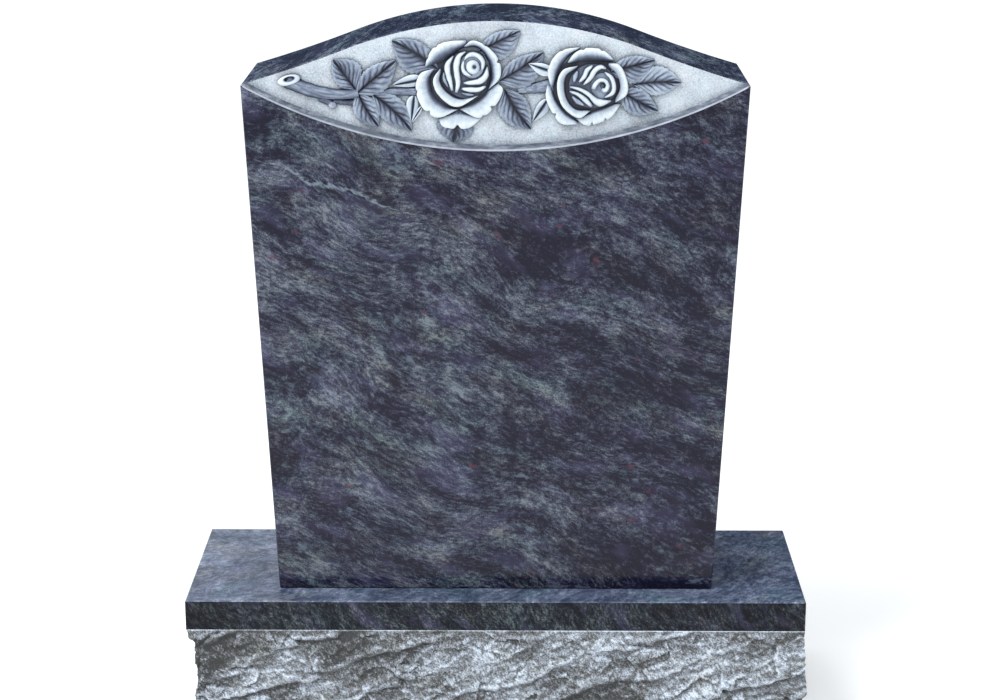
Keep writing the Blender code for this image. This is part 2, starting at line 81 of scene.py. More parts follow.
BASE_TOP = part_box("base")[1].z
TABLET_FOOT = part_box("tablet")[0].z
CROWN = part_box("tablet")[1].z
TABLET_FRONT = -TABLET_THICKNESS / 2
PANEL_FACE = TABLET_FRONT + PANEL_DEPTH
MILLIMETRE = 0.001

# Camera, at the photograph's angle
CAMERA_PLACE = (0.0305, -3.2052, 1.4441)
CAMERA_PITCH = math.radians(15.813)
CAMERA_YAW = math.radians(0.442)
CAMERA_LENS = 81.5
CAMERA_SENSOR = 36

# Studio: the light, the floor, and the dark cards behind the stone with the height at which they part
SKY = (0.94, 0.97, 1.0, 1.0)
SKY_STRENGTH = 0.95
KEY_PLACE = (-1.9, -1.6, 4.2)
KEY_TARGET = (0, 0, 0.6)
KEY_SIZE = 1.8
KEY_POWER = 130
FLOOR_HALF = 40.0
FLOOR_GLOW = 0.18
FLOOR_MOTTLE = (3.0, 2.0, 0.5)
FLOOR_TONES = ((0.94, 0.94, 0.94, 1.0), (0.96, 0.96, 0.96, 1.0))
FLAG_DISTANCE = 0.7
FLAG_HALF = 1.6
FLAG_SPLIT = 0.75
FLAG_TOP = 2.2
FELT_NAP = (60.0, 2.0, 0.5)
FELT_TONES = ((0.020, 0.032, 0.055, 1.0), (0.040, 0.058, 0.095, 1.0))

# The carving's drawing: x to the right and y down, in one unit
CARVING_UNIT = 0.001386
CARVING_ZERO = (495, 84.3)
CARVING_ROOT = 0.004

# Petals: name, height of the crest and of the root in millimetres, share of the petal that lies in the
# dark of its root (partly dark paint, partly painted shade), rim, root, and the nicks in the rim as (place
# along it, depth as a share of the petal's width, length along it).
ROSE_LEFT = [
    ("back_left", 8.0, 3.5, 0.75, [(425, 66), (428, 56), (436, 46), (449, 41.5), (466, 40.5)],
     [(428, 68), (446, 60), (460, 50), (467, 47)], ((0.16, 0.10, 0.04), (0.42, 0.06, 0.03))),
    ("back_right", 9.0, 4.0, 0.55, [(464, 46), (473, 40.5), (487, 46.5), (498.5, 60), (500, 77), (489, 89)],
     [(465, 48), (478, 48.5), (488, 62), (490, 77), (487, 90)], ((0.30, 0.10, 0.02), (0.58, 0.22, 0.018))),
    ("left", 8.5, 3.5, 0.42, [(434, 68.5), (420, 74), (415.5, 90), (423, 109), (438, 118), (457, 110)],
     [(434, 70), (430, 81), (434, 96), (446, 106), (458, 109)], ((0.37, 0.10, 0.02), (0.64, 0.18, 0.02))),
    ("lower_right", 7.5, 3.5, 0.30, [(498, 83.5), (502.5, 91), (494, 107), (479, 118.5), (460, 110)],
     [(487, 91), (479, 99), (460, 108.5)], ((0.42, 0.16, 0.025), (0.62, 0.08, 0.03))),
    ("lowest", 5.5, 3.0, 0.25, [(438, 120), (444, 128), (467, 129), (481, 119)],
     [(443, 117), (458, 112), (477, 117)], ((0.46, 0.22, 0.05),)),
    ("cup", 10.5, 5.0, 0.22, [(440, 68.5), (433, 80), (438, 95), (456, 107), (478, 96)],
     [(442, 70), (440, 81), (447, 92), (460, 98.5), (477, 95)], ()),
]

ROSE_RIGHT = [
    ("back_left", 8.0, 3.5, 0.50, [(579, 47), (562, 50), (552, 59), (547, 71), (550, 86)],
     [(579, 49), (568, 57), (560, 69), (554, 86)], ((0.30, 0.08, 0.03), (0.62, 0.06, 0.03))),
    ("left", 7.5, 3.5, 0.38, [(547, 84), (545.5, 97), (551, 111), (561, 124), (577, 125)],
     [(551, 86), (556, 100), (565, 112), (578, 122)], ((0.55, 0.26, 0.025),)),
    ("lowest", 6.5, 3.5, 0.25, [(576, 119), (585, 125.5), (597, 124), (611, 117.5), (620, 105)],
     [(581, 117), (592, 112), (605, 107), (617, 103)], ((0.33, 0.20, 0.018), (0.60, 0.18, 0.018))),
    ("back_top", 8.5, 4.0, 0.72, [(567, 62), (574, 53), (585, 48), (601, 49.5), (613, 59)],
     [(570, 64), (582, 61.5), (596, 61.5), (612, 62)], ((0.38, 0.10, 0.03), (0.72, 0.10, 0.03))),
    ("right", 9.5, 4.5, 0.16, [(608, 63), (619, 65), (626.5, 80), (626.5, 94), (615.5, 102.5)],
     [(607, 66), (615.5, 75), (619, 87), (614, 100)], ()),
    ("cup", 10.5, 5.0, 0.20, [(577, 65.5), (562, 70), (556.5, 86), (562, 106), (578, 118), (590, 111)],
     [(576, 68), (565.5, 77), (565.5, 95), (574, 108), (589, 110.5)], ()),
]

# Ridges of the folded petals in the hearts: name, height, tone, half widths along it, middle line.
HEART_LEFT = [
    ("inside_left", 10.5, 0.60, (0.8, 2.0, 0.8), [(443.8, 72), (444.3, 79), (448.2, 87)]),
    ("bud_left", 12.0, 0.97, (0.8, 3.0, 2.7, 1.3),
     [(453.2, 56), (447.8, 64), (447.7, 72), (450, 81), (452.2, 90)]),
    ("bud_fold", 13.0, 0.97, (0.9, 3.4, 3.0, 1.4),
     [(465.3, 51.6), (459, 56), (456.4, 65), (456.8, 74), (457.9, 83), (456, 92)]),
    ("wrap_lowest", 10.0, 0.58, (0.8, 1.8, 0.8), [(461, 92.6), (467, 94), (474, 94.6)]),
    ("wrap_low", 11.5, 0.97, (1.2, 2.7, 2.6, 1.0),
     [(461.5, 88.4), (469, 89.3), (478, 89.2), (485.3, 86)]),
    ("wrap_high", 12.5, 0.97, (1.1, 2.4, 3.3, 2.6, 0.9),
     [(463.5, 82.8), (471, 82.2), (479.5, 80.8), (485.4, 75.5), (487, 66.5)]),
    ("bud_top", 14.0, 0.95, (0.9, 2.3, 2.5, 2.3, 1.2),
     [(464, 59.8), (467.5, 55.6), (473, 53.9), (479, 56.3), (482.7, 62), (481.8, 70)]),
    ("bud_side", 14.0, 0.93, (1.0, 2.0, 2.2, 0.8),
     [(463.8, 60), (462.6, 66), (464.6, 71.8), (471.5, 76)]),
]
HEART_RIGHT = [
    ("bud_back", 10.0, 0.66, (0.8, 2.4, 1.2), [(577, 70.5), (574.8, 76), (573.5, 82)]),
    ("bud_left", 12.0, 0.92, (1.0, 2.5, 2.3, 1.0),
     [(591.8, 65.2), (586.5, 69.8), (583.8, 76), (578.5, 81.8)]),
    ("bud_fold", 13.0, 0.95, (1.0, 2.4, 2.7, 2.2, 0.9),
     [(605, 68.2), (600, 66.4), (594, 70), (589.8, 77), (583, 84.2)]),
    ("wrap_outer", 10.0, 0.66, (1.0, 2.7, 1.2), [(572, 96), (577, 101), (583.8, 105)]),
    ("wrap_middle", 11.5, 0.92, (1.0, 2.0, 2.7, 1.8),
     [(569.3, 91), (577, 93.6), (584, 98.8), (591.5, 106)]),
    ("wrap_inner", 12.5, 0.95, (0.9, 1.7, 2.3, 4.0, 0.9),
     [(569.5, 86.4), (579, 88.8), (588, 93.8), (598, 102), (610.5, 100.5)]),
    ("bud_right", 13.5, 0.95, (0.9, 2.1, 2.3, 2.1, 0.9),
     [(604, 71.6), (610.3, 77), (613, 84.5), (612, 92), (604.5, 97)]),
    ("bud_curl", 14.5, 0.95, (2.4, 2.2, 2.1, 2.2, 2.4),
     [(592.6, 88.5), (595.2, 83), (599.5, 79.4), (604.6, 80.3), (607, 85), (604.8, 89.6), (601, 88.4)]),
]

# Mounds between the petals, toned as painted shade in the hollows: name, height, centre, half width and
# half height, shade.
BEDS_LEFT = [
    ("bed", 3.2, (459.0, 85.0), 33.0, 33.0, 0.10),
    ("heart", 8.0, (466.0, 75.0), 21.5, 23.5, 0.30),
    ("middle", 10.5, (472.0, 65.5), 12.0, 12.5, 0.70),
]
BEDS_RIGHT = [
    ("bed", 3.2, (587.0, 87.0), 34.0, 31.0, 0.10),
    ("heart", 7.5, (592.0, 86.0), 23.5, 22.0, 0.36),
    ("middle", 10.5, (602.0, 85.5), 11.5, 13.0, 0.55),
]

# Leaves: name, height of the edge, swell of the blade in millimetres, tone, base, tip, bow of the rib,
# width of the left and right halves, where it is widest, pairs of side veins.
LEAVES = [
    ("behind_left", 2.0, 3.0, 0.42, (438, 70), (392, 41), -2.0, 21.0, 12.0, 0.50, 7),
    ("behind_top", 2.0, 3.0, 0.47, (478, 52), (520, 31), 0.0, 9.5, 18.0, 0.45, 7),
    ("middle_top", 3.0, 3.5, 0.43, (499, 81), (543, 52), -1.5, 11.5, 19.0, 0.44, 7),
    ("middle_low", 2.5, 3.5, 0.42, (504, 89), (531, 130), -2.0, 14.5, 16.5, 0.45, 7),
    ("under_rose", 1.5, 2.5, 0.36, (459, 110), (453, 143.5), 0.0, 17.0, 19.0, 0.58, 5),
    ("group_low_right", 2.5, 3.5, 0.44, (371, 94), (411, 132), 2.5, 13.5, 13.5, 0.47, 7),
    ("group_low_left", 3.0, 3.5, 0.43, (357, 92), (378, 127.5), -1.5, 12.0, 13.0, 0.48, 6),
    ("group_top_left", 2.5, 3.5, 0.43, (356, 91), (333, 60), 0.0, 12.0, 18.5, 0.48, 6),
    ("group_top_right", 4.0, 4.0, 0.43, (356, 94), (396, 60.5), 0.0, 12.0, 15.5, 0.46, 6),
    ("end_far", 2.0, 3.0, 0.53, (632, 85), (681, 83), 1.5, 16.5, 13.0, 0.50, 7),
    ("end_top", 3.0, 3.5, 0.45, (610, 72), (654, 60), 0.0, 10.5, 17.0, 0.44, 7),
    ("end_low", 3.0, 3.5, 0.45, (620, 90), (658, 111), -1.5, 12.5, 14.5, 0.46, 6),
]

SEPALS = [
    ("left_high", 3.0, 2.5, 0.80, (423, 80), (391, 86), 0.0, 5.0, 7.0, 0.34, 0),
    ("left_low", 2.5, 2.5, 0.80, (414, 96), (410.5, 124), 0.0, 5.0, 7.0, 0.32, 0),
    ("left_last", 3.0, 2.5, 0.84, (422, 106), (410.5, 124), 0.0, 2.5, 2.5, 0.40, 0),
    ("middle_high", 5.5, 2.5, 0.84, (553, 72), (528, 63.5), 0.0, 7.0, 5.0, 0.38, 0),
    ("middle_low", 2.5, 2.5, 0.76, (548, 99), (532, 123), 0.0, 6.5, 5.5, 0.38, 0),
]

# Stems: name, height, tone, start, end, bow, half width at the start and at the end.
STEMS = [
    ("twig", 4.0, 0.28, (333, 101.5), (358, 103), -1.0, 2.8, 3.2),
    ("to_left_rose", 4.5, 0.42, (376, 92.5), (424, 92), 0.0, 3.5, 4.6),
    ("between_roses", 4.5, 0.46, (518, 91), (552, 86), 0.0, 3.5, 7.5),
    ("spur", 4.5, 0.36, (320, 98), (332, 105), 0.0, 4.8, 3.2),
    ("main", 8.0, 0.42, (287, 81), (358, 93.5), -6.5, 7.8, 4.6),
]

# Bosses and rings: name, height, centre, half width, half height, share that is open, how far the hole lies
# off the centre, tilt, shade.
EYE_LEFT = ("ring", 14.0, (472.7, 66.6), 7.4, 7.7, 0.16, (1.6, -0.3), 0.0, 0.88)
# The right rose's pit is a dark boss: painted shade in the hollow inside the bud's curl.
EYE_RIGHT = ("pit", 12.5, (601.9, 85.0), 2.8, 3.2, 0.02, (0.0, 0.0), 0.0, 0.25)
STEM_BOSSES = [
    ("cut_end", 9.5, (288.8, 80.3), 11.8, 5.3, 0.42, (0.8, -1.2), math.radians(14), 0.95),
    ("thorn", 5.5, (331.8, 105.8), 4.2, 3.6, 0.02, (0.0, 0.0), 0.0, 0.62),
]

# Rock-pitched sides, as in the model
ROCK_SWELL = 0.001
ROCK_RELIEF = 0.018
ROCK_LEAN = {"front": 0.0, "right": 0.002, "back": 0.0, "left": -0.009}
ROCK_LEDGE_LENGTH = 0.150
ROCK_LEDGE_HEIGHT = 0.050
ROCK_SLANT = math.radians(17)
ROCK_PROFILE = ((0.0, 0.0), (0.10, 0.9), (0.15, 1.0), (0.50, 0.30), (1.0, 0.0))  # share of height, depth
ROCK_PROFILE_SHARE = 0.55
ROCK_MIDDLE = 0.35
ROCK_WANDER = 0.45
ROCK_BREAKS = 0.9
ROCK_BREAK_LEAN = 0.4
ROCK_SHIFT = 0.5
ROCK_STRENGTH = (0.55, 0.9)
ROCK_BROAD = (0.5, 0.7)
ROCK_WANDER_NOISE = ((1.3, 0.6), (0.0, 0.0))
ROCK_STRENGTH_NOISE = ((1.6, 0.8), (5.7, 0.0))
ROCK_BROAD_NOISE = ((0.8, 0.5), (0.0, 9.1))
ROCK_SHEET = 7.3
ROCK_FOOT_FADE = 3
ROCK_CORNER = 0.020
ROCK_FADE = 0.010

# Finer relief of the rock-pitched sides: frayed ledges, splinters, small flat breaks and grit
ROCK_STEP = 0.0021  # spacing of the finished surface's points
ROCK_FRAY = 0.10
ROCK_FRAY_NOISE = ((9.0, 2.0), (0.0, 0.0))
ROCK_FRAY_SHEET = 4.4
SPLINTER_SIZE = 0.38  # as a share of the main ledges
SPLINTER_DEPTH = 0.0024
SPLINTER_SLANT = math.radians(31)
SPLINTER_SHEET = 3.1
FACETS = (  # depth, size, how flat they lie, slant, sheet
    (0.0065, 0.042, 1.6, -0.3, 0.0),
    (0.0024, 0.013, 1.3, 0.3, 2.2),
)
GRIT_DEPTH = 0.0008
GRIT_PITCH = 260.0
# Crests paler and hollows darker, partly bruised stone and partly painted highlight and shade; stone that
# faces up paler as painted light; the line where the rough stone begins paler, partly bruised and partly a
# painted highlight.
CREST_REACH = 3  # points to each side that a crest is told by
CREST_HEIGHT = 0.0011
CREST_RANGE = (-0.4, 1.0)
PALE_SLOPE = 0.5  # stone that faces up at this slope or more is palest
BORDER_BRUISE_AND_HIGHLIGHT = 2.6  # how pale the line is where the rough stone begins


# Materials: each stone's tones from dark to light, and the colours that stray in it

TABLET_TONES = (
    (0.0, (0.003, 0.003, 0.014)),
    (0.20, (0.007, 0.006, 0.021)),
    (0.36, (0.019, 0.021, 0.042)),
    (0.50, (0.031, 0.036, 0.062)),
    (0.63, (0.050, 0.058, 0.085)),
    (0.90, (0.102, 0.117, 0.145)),
    (1.0, (0.150, 0.170, 0.200)),
)
CROWN_TONES = (
    (0.0, (0.002, 0.003, 0.012)),
    (0.28, (0.010, 0.011, 0.032)),
    (0.45, (0.034, 0.044, 0.078)),
    (0.62, (0.085, 0.105, 0.150)),
    (1.0, (0.210, 0.245, 0.300)),
)
BAND_TONES = (
    (0.0, (0.002, 0.002, 0.006)),
    (0.35, (0.012, 0.015, 0.022)),
    (0.60, (0.034, 0.041, 0.051)),
    (1.0, (0.120, 0.138, 0.150)),
)
# The base's polished top is toned paler than its band of the same stone: the extra paleness is painted
# reflection of the bright sky.
BASE_TOP_TONES = (
    (0.0, (0.036, 0.050, 0.090)),
    (0.40, (0.096, 0.120, 0.187)),
    (0.75, (0.180, 0.213, 0.305)),
    (1.0, (0.310, 0.345, 0.440)),
)
FROSTED_TONES = ((0.0, (0.20, 0.24, 0.28)), (0.45, (0.46, 0.53, 0.59)), (1.0, (0.71, 0.79, 0.83)))
FROSTED_BLUSH = (1.0, 0.955, 0.955, 1.0)
SLOPE_TONES = ((0.0, (0.05, 0.06, 0.09)), (0.5, (0.13, 0.15, 0.19)), (1.0, (0.30, 0.33, 0.39)))
# The eased edge is toned paler than the slope of the same honed stone: a painted highlight along that edge.
EASED_HIGHLIGHT_TONES = ((0.0, (0.21, 0.24, 0.30)), (1.0, (0.40, 0.44, 0.51)))
CARVED_TONES = (
    (0.0, (0.006, 0.009, 0.020)),
    (0.22, (0.030, 0.040, 0.072)),
    (0.45, (0.125, 0.155, 0.225)),
    (0.70, (0.370, 0.440, 0.530)),
    (1.0, (0.680, 0.750, 0.775)),
)
PITCHED_TONES = (
    (0.0, (0.040, 0.042, 0.044)),
    (0.35, (0.150, 0.158, 0.166)),
    (0.65, (0.350, 0.395, 0.460)),
    (1.0, (0.700, 0.780, 0.880)),
)
GREENISH = (0.80, 1.00, 0.92, 1.0)
BROWNISH = (1.00, 0.92, 0.76, 1.0)
LAVENDER = (0.020, 0.018, 0.040, 1.0)
PALE_WISP = (0.130, 0.170, 0.215, 1.0)
PALE_VEIN = (0.200, 0.250, 0.300, 1.0)
RED_CRYSTAL = (0.090, 0.024, 0.046, 1.0)
OLIVE = (0.74, 0.70, 0.60, 1.0)

# How each stone's flow is turned, how its flecks are drawn out along it, and how strongly it mirrors
TABLET_FLOW = (0.0, math.radians(23), 0.0)
BAND_FLOW = (0.0, math.radians(55), 0.0)
BASE_TOP_FLOW = (0.0, 0.0, math.radians(48))
ROCK_GRAIN_TURN = math.radians(50)
ROCK_BLOOM_TURN = math.radians(30)
FLECK_STRETCH = (2.3, 6.0, 1.0)
BASE_TOP_STRETCH = (2.6, 1.8, 1.0)
POLISH_IOR = 1.33
BAND_IOR = 1.25
BASE_TOP_IOR = 1.25
# Painted light: the tablet's face is toned paler towards its left end and darker towards its right, as if
# lit from the left.
TABLET_SIDE_LIGHT = (0.09, -0.09)  # how much paler its left end is, and its right end

# The vein across the tablet's upper left: start, end and half width, on the front
STONE_VEIN = ((-0.335, 0.838), (-0.120, 0.765), 0.0040)


# A noise is given as its waves to a metre, its detail and its roughness. This part of its range is drawn
# out over the tones.
NOISE_SPAN = (0.3, 0.7)


class Shader:
    """A node material, with short calls for the nodes that the stones need."""

    def __init__(self, name):
        self.material = bpy.data.materials.new(name)
        self.material.use_nodes = True
        self.tree = self.material.node_tree
        self.surface = self.tree.nodes["Principled BSDF"]
        self.place = self.node("ShaderNodeTexCoord").outputs["Object"]

    def node(self, kind, **settings):
        made = self.tree.nodes.new(kind)
        for key, value in settings.items():
            setattr(made, key, value)
        return made

    def join(self, value, socket):
        if isinstance(value, bpy.types.NodeSocket):
            self.tree.links.new(value, socket)
        else:
            socket.default_value = value

    def math(self, operation, a, b=0.0):
        made = self.node("ShaderNodeMath", operation=operation)
        self.join(a, made.inputs[0])
        self.join(b, made.inputs[1])
        return made.outputs[0]

    def total(self, *values):
        added = values[0]
        for value in values[1:]:
            added = self.math("ADD", added, value)
        return added

    def spread(self, value, low, high, to_low=0.0, to_high=1.0):
        """A value's range stretched onto another."""
        made = self.node("ShaderNodeMapRange")
        for socket, number in zip(made.inputs[:5], (value, low, high, to_low, to_high)):
            self.join(number, socket)
        return made.outputs[0]

    def swing(self, noise, reach):
        """A noise drawn out to run from -reach to reach."""
        return self.spread(noise, *NOISE_SPAN, -reach, reach)

    def mix(self, share, a, b, blend="MIX"):
        made = self.node("ShaderNodeMix", data_type="RGBA", blend_type=blend)
        self.join(share, made.inputs["Factor"])
        for value, socket in zip((a, b), made.inputs[6:8]):  # the node's two sockets for colours
            self.join(value, socket)
        return made.outputs[2]

    def vector(self, operation, a, b=(0.0, 0.0, 0.0), scale=1.0):
        made = self.node("ShaderNodeVectorMath", operation=operation)
        self.join(a, made.inputs[0])
        if operation == "SCALE":
            made.inputs["Scale"].default_value = scale
        else:
            self.join(b, made.inputs[1])
        return made.outputs["Value" if operation == "DOT_PRODUCT" else "Vector"]

    def ramp(self, value, tones):
        """A colour read from (position, colour) tones."""
        made = self.node("ShaderNodeValToRGB")
        self.join(value, made.inputs[0])
        elements = made.color_ramp.elements
        while len(elements) < len(tones):
            elements.new(0.5)
        for element, (position, colour) in zip(elements, tones):
            element.position = position
            element.color = (*colour, 1.0)
        return made.outputs[0]

    def turned(self, place, turn, stretch):
        """Coordinates turned about the axes and drawn out by stretch."""
        made = self.node("ShaderNodeMapping", vector_type="TEXTURE")
        self.join(place, made.inputs["Vector"])
        made.inputs["Rotation"].default_value = turn
        made.inputs["Scale"].default_value = stretch
        return made.outputs[0]

    def drifted(self, place, noise, reach):
        """Coordinates carried off by up to half of reach, as a noise's three channels say."""
        ways = self.noise(self.place, *noise, output="Color")
        centred = self.vector("SUBTRACT", ways, (0.5, 0.5, 0.5))
        return self.vector("ADD", place, self.vector("SCALE", centred, scale=reach))

    def shade(self, distance, strength):
        """0 down to -strength: painted shade, for adding into a tone, where other shapes stand round a
        point within a distance.
        """
        made = self.node("ShaderNodeAmbientOcclusion", samples=8)
        made.inputs["Distance"].default_value = distance
        return self.math("MULTIPLY", self.math("SUBTRACT", 1.0, made.outputs["AO"]), -strength)

    def noise(self, place, pitch, detail, rough, output="Fac"):
        made = self.node("ShaderNodeTexNoise")
        self.join(place, made.inputs["Vector"])
        for name, number in (("Scale", pitch), ("Detail", detail), ("Roughness", rough)):
            made.inputs[name].default_value = number
        return made.outputs[output]

    def attribute(self, name, strength=1.0):
        value = self.node("ShaderNodeAttribute", attribute_name=name).outputs["Fac"]
        return self.math("MULTIPLY", value, strength)

    def bump(self, height, strength, distance):
        made = self.node("ShaderNodeBump")
        self.join(height, made.inputs["Height"])
        made.inputs["Strength"].default_value = strength
        made.inputs["Distance"].default_value = distance
        self.tree.links.new(made.outputs[0], self.surface.inputs["Normal"])

    def finish(self, colour, roughness, ior=1.5):
        self.join(colour, self.surface.inputs["Base Color"])
        self.join(roughness, self.surface.inputs["Roughness"])
        self.surface.inputs["IOR"].default_value = ior
        return self.material


FLOW_DRIFTS = (  # noise, and how far it carries the flow in metres
    ((4.0, 1.5, 0.5), 0.10),
    ((45.0, 2.0, 0.5), 0.006),
)


def flowing_place(shader, turn, stretch):
    """Coordinates along the stone's flow, which is turned about the three axes and wanders a little; what
    is drawn in them comes out drawn out by stretch."""
    place = shader.place
    for wander, reach in FLOW_DRIFTS:
        place = shader.drifted(place, wander, reach)
    return shader.turned(place, turn, stretch)


FLECKS = (290.0, 2.5, 0.60)
STREAKS = (90.0, 3.0, 0.60)
CLOUDS = (24.0, 3.0, 0.55)
GRAIN = (480.0, 2.0, 0.60)
FLECK_SHARE = 0.35
STREAK_SHARE = 0.29
GRAIN_SHARE = 0.27
TINTS = (30.0, 2.0, 0.50)
STRAY_HUES = (  # colour, blend, where in the tints it begins and is full, strength
    (GREENISH, "MULTIPLY", 0.50, 0.66, 0.70),
    (LAVENDER, "SCREEN", 0.54, 0.66, 0.80),
    (BROWNISH, "MULTIPLY", 0.53, 0.65, 0.65),
)
WISPS = (42.0, 4.0, 0.65)
WISP_FRAY = 0.03
WISP_SPAN = (0.655, 0.73)
CRYSTALS = (60.0, 2.0, 0.50)
CRYSTAL_SPAN = (0.69, 0.76)


def granite(name, tones, flow, roughness, stretch=FLECK_STRETCH, middle=0.395, patchy=0.36,
            wispy=0.55, crystals=0.0, side_light=(0.0, 0.0), ior=POLISH_IOR, vein=None):
    """Polished granite: short flecks and streaks along its flow, cloudy patches, fine grain, pale wisps
    and a few coloured crystals. The tones run from its darkest ground to its palest fleck."""
    shader = Shader(name)
    place = flowing_place(shader, flow, stretch)
    flecks = shader.noise(place, *FLECKS)
    across = shader.node("ShaderNodeSeparateXYZ")
    shader.join(shader.place, across.inputs[0])
    half = TABLET_TOP_WIDTH / 2
    tone = shader.total(
        middle,
        # painted light across the face, paler to one side
        shader.spread(across.outputs[0], -half, half, *side_light),
        shader.swing(flecks, FLECK_SHARE),
        shader.swing(shader.noise(place, *STREAKS), STREAK_SHARE),
        shader.swing(shader.noise(place, *CLOUDS), patchy),
        shader.swing(shader.noise(shader.place, *GRAIN), GRAIN_SHARE),
    )
    stone = shader.ramp(tone, tones)
    tints = shader.node("ShaderNodeSeparateColor")
    shader.join(shader.noise(place, *TINTS, output="Color"), tints.inputs[0])
    for tint, (colour, blend, start, full, strength) in zip(tints.outputs, STRAY_HUES):
        stone = shader.mix(shader.spread(tint, start, full, 0.0, strength), stone, colour, blend)
    wisps = shader.math("ADD", shader.noise(place, *WISPS), shader.swing(flecks, WISP_FRAY))
    stone = shader.mix(shader.spread(wisps, *WISP_SPAN, 0.0, wispy), stone, PALE_WISP)
    red = shader.noise(place, *CRYSTALS)
    stone = shader.mix(shader.spread(red, *CRYSTAL_SPAN, 0.0, crystals), stone, RED_CRYSTAL)
    if vein:
        stone = shader.mix(vein_mask(shader, flecks, *vein), stone, PALE_VEIN)
    return shader.finish(stone, roughness, ior)


STONE_VEIN_SWAY = ((11.0, 3.0, 0.6), 0.045)
STONE_VEIN_FRAY = 0.9
STONE_VEIN_STRENGTH = 0.60


def vein_mask(shader, flecks, start, end, width):
    """Where one long pale vein shows: a frayed line from start to end on the front, fading at both ends."""
    along = Vector((end[0] - start[0], 0.0, end[1] - start[1]))
    length = along.length
    place = shader.drifted(shader.place, *STONE_VEIN_SWAY)
    place = shader.vector("SUBTRACT", place, (start[0], 0.0, start[1]))
    ahead = shader.vector("DOT_PRODUCT", place, along / length)
    aside = shader.vector("DOT_PRODUCT", place, Vector((along.z, 0.0, -along.x)) / length)
    reach = shader.spread(ahead, 0.0, length)
    thick = shader.math("MULTIPLY", shader.math("SINE", shader.math("MULTIPLY", reach, math.pi)), width)
    closeness = shader.math("SUBTRACT", 1.0, shader.math("DIVIDE", shader.math("ABSOLUTE", aside), thick))
    closeness = shader.math("ADD", closeness, shader.swing(flecks, STONE_VEIN_FRAY))
    within = shader.math("MULTIPLY", shader.math("GREATER_THAN", ahead, 0.0),
                         shader.math("LESS_THAN", ahead, length))
    return shader.math("MULTIPLY", shader.spread(closeness, 0.0, 1.0, 0.0, STONE_VEIN_STRENGTH), within)


FROSTED_MIDDLE = 0.53
FROSTED_GRAIN = (480.0, 3.0, 0.70)
FROSTED_GRAIN_SHARE = 0.30
FROSTED_CLOUDS = (26.0, 4.0, 0.60)
FROSTED_CLOUD_SHARE = 0.18
BLUSH = (40.0, 3.0, 0.60)
BLUSH_SPAN = (0.42, 0.60)


def frosted_granite():
    """The panel's floor: pale, finely pitted stone with faint clouds, darker close to the carving with
    painted shade.
    """
    shader = Shader("frosted_granite")
    grain = shader.noise(shader.place, *FROSTED_GRAIN)
    tone = shader.total(
        FROSTED_MIDDLE,
        shader.swing(grain, FROSTED_GRAIN_SHARE),
        shader.swing(shader.noise(shader.place, *FROSTED_CLOUDS), FROSTED_CLOUD_SHARE),
        # painted shade where the raised carving stands near
        shader.shade(distance=0.012, strength=0.9),
    )
    blush = shader.spread(shader.noise(shader.place, *BLUSH), *BLUSH_SPAN)
    stone = shader.mix(blush, shader.ramp(tone, FROSTED_TONES), FROSTED_BLUSH, "MULTIPLY")
    shader.bump(grain, strength=0.5, distance=0.0006)
    return shader.finish(stone, roughness=0.75)


HONED_STREAKS = (150.0, 4.0, 0.62)
HONED_STRETCH = (4.0, 2.0, 1.0)


def honed_granite(name, tones):
    """The sloping wall under the panel and its eased edge: ground but not polished."""
    shader = Shader(name)
    place = flowing_place(shader, (0.0, 0.0, 0.0), HONED_STRETCH)
    tone = shader.spread(shader.noise(place, *HONED_STREAKS), *NOISE_SPAN)
    return shader.finish(shader.ramp(tone, tones), roughness=0.45)


CARVED_CLOUDS = (85.0, 4.0, 0.60)
CARVED_CLOUD_SHARE = 0.06
CARVED_GRAIN = (650.0, 2.0, 0.60)
CARVED_GRAIN_SHARE = 0.05


def carved_granite():
    """Carved stone, toned by each shape's own shade: dark in the creases, partly with dark paint and partly
    with painted shade, and pale on the rims with a painted highlight.
    """
    shader = Shader("carved_granite")
    grain = shader.noise(shader.place, *CARVED_GRAIN)
    tone = shader.total(
        # each shape's painted shade and painted highlight, point by point
        shader.attribute("shade"),
        shader.swing(shader.noise(shader.place, *CARVED_CLOUDS), CARVED_CLOUD_SHARE),
        shader.swing(grain, CARVED_GRAIN_SHARE),
        # more painted shade where the carving crowds round a point
        shader.shade(distance=0.005, strength=0.35),
    )
    shader.bump(grain, strength=0.35, distance=0.0004)
    return shader.finish(shader.ramp(tone, CARVED_TONES), roughness=0.55)


PITCHED_MIDDLE = 0.29
FIBRES = (330.0, 3.0, 0.75)
FIBRE_STRETCH = (2.4, 1.5, 1.0)
FIBRE_SHARE = 0.26
PITCHED_GRAIN = (520.0, 2.0, 0.70)
PITCHED_GRAIN_SHARE = 0.32
PATCHES = (15.0, 5.0, 0.58)
PATCH_STRETCH = (2.2, 1.5, 1.0)
PATCH_SHARE = 0.46
RUST = (34.0, 3.0, 0.60)
RUST_SPAN = (0.48, 0.66)
RUST_STRENGTH = 0.55


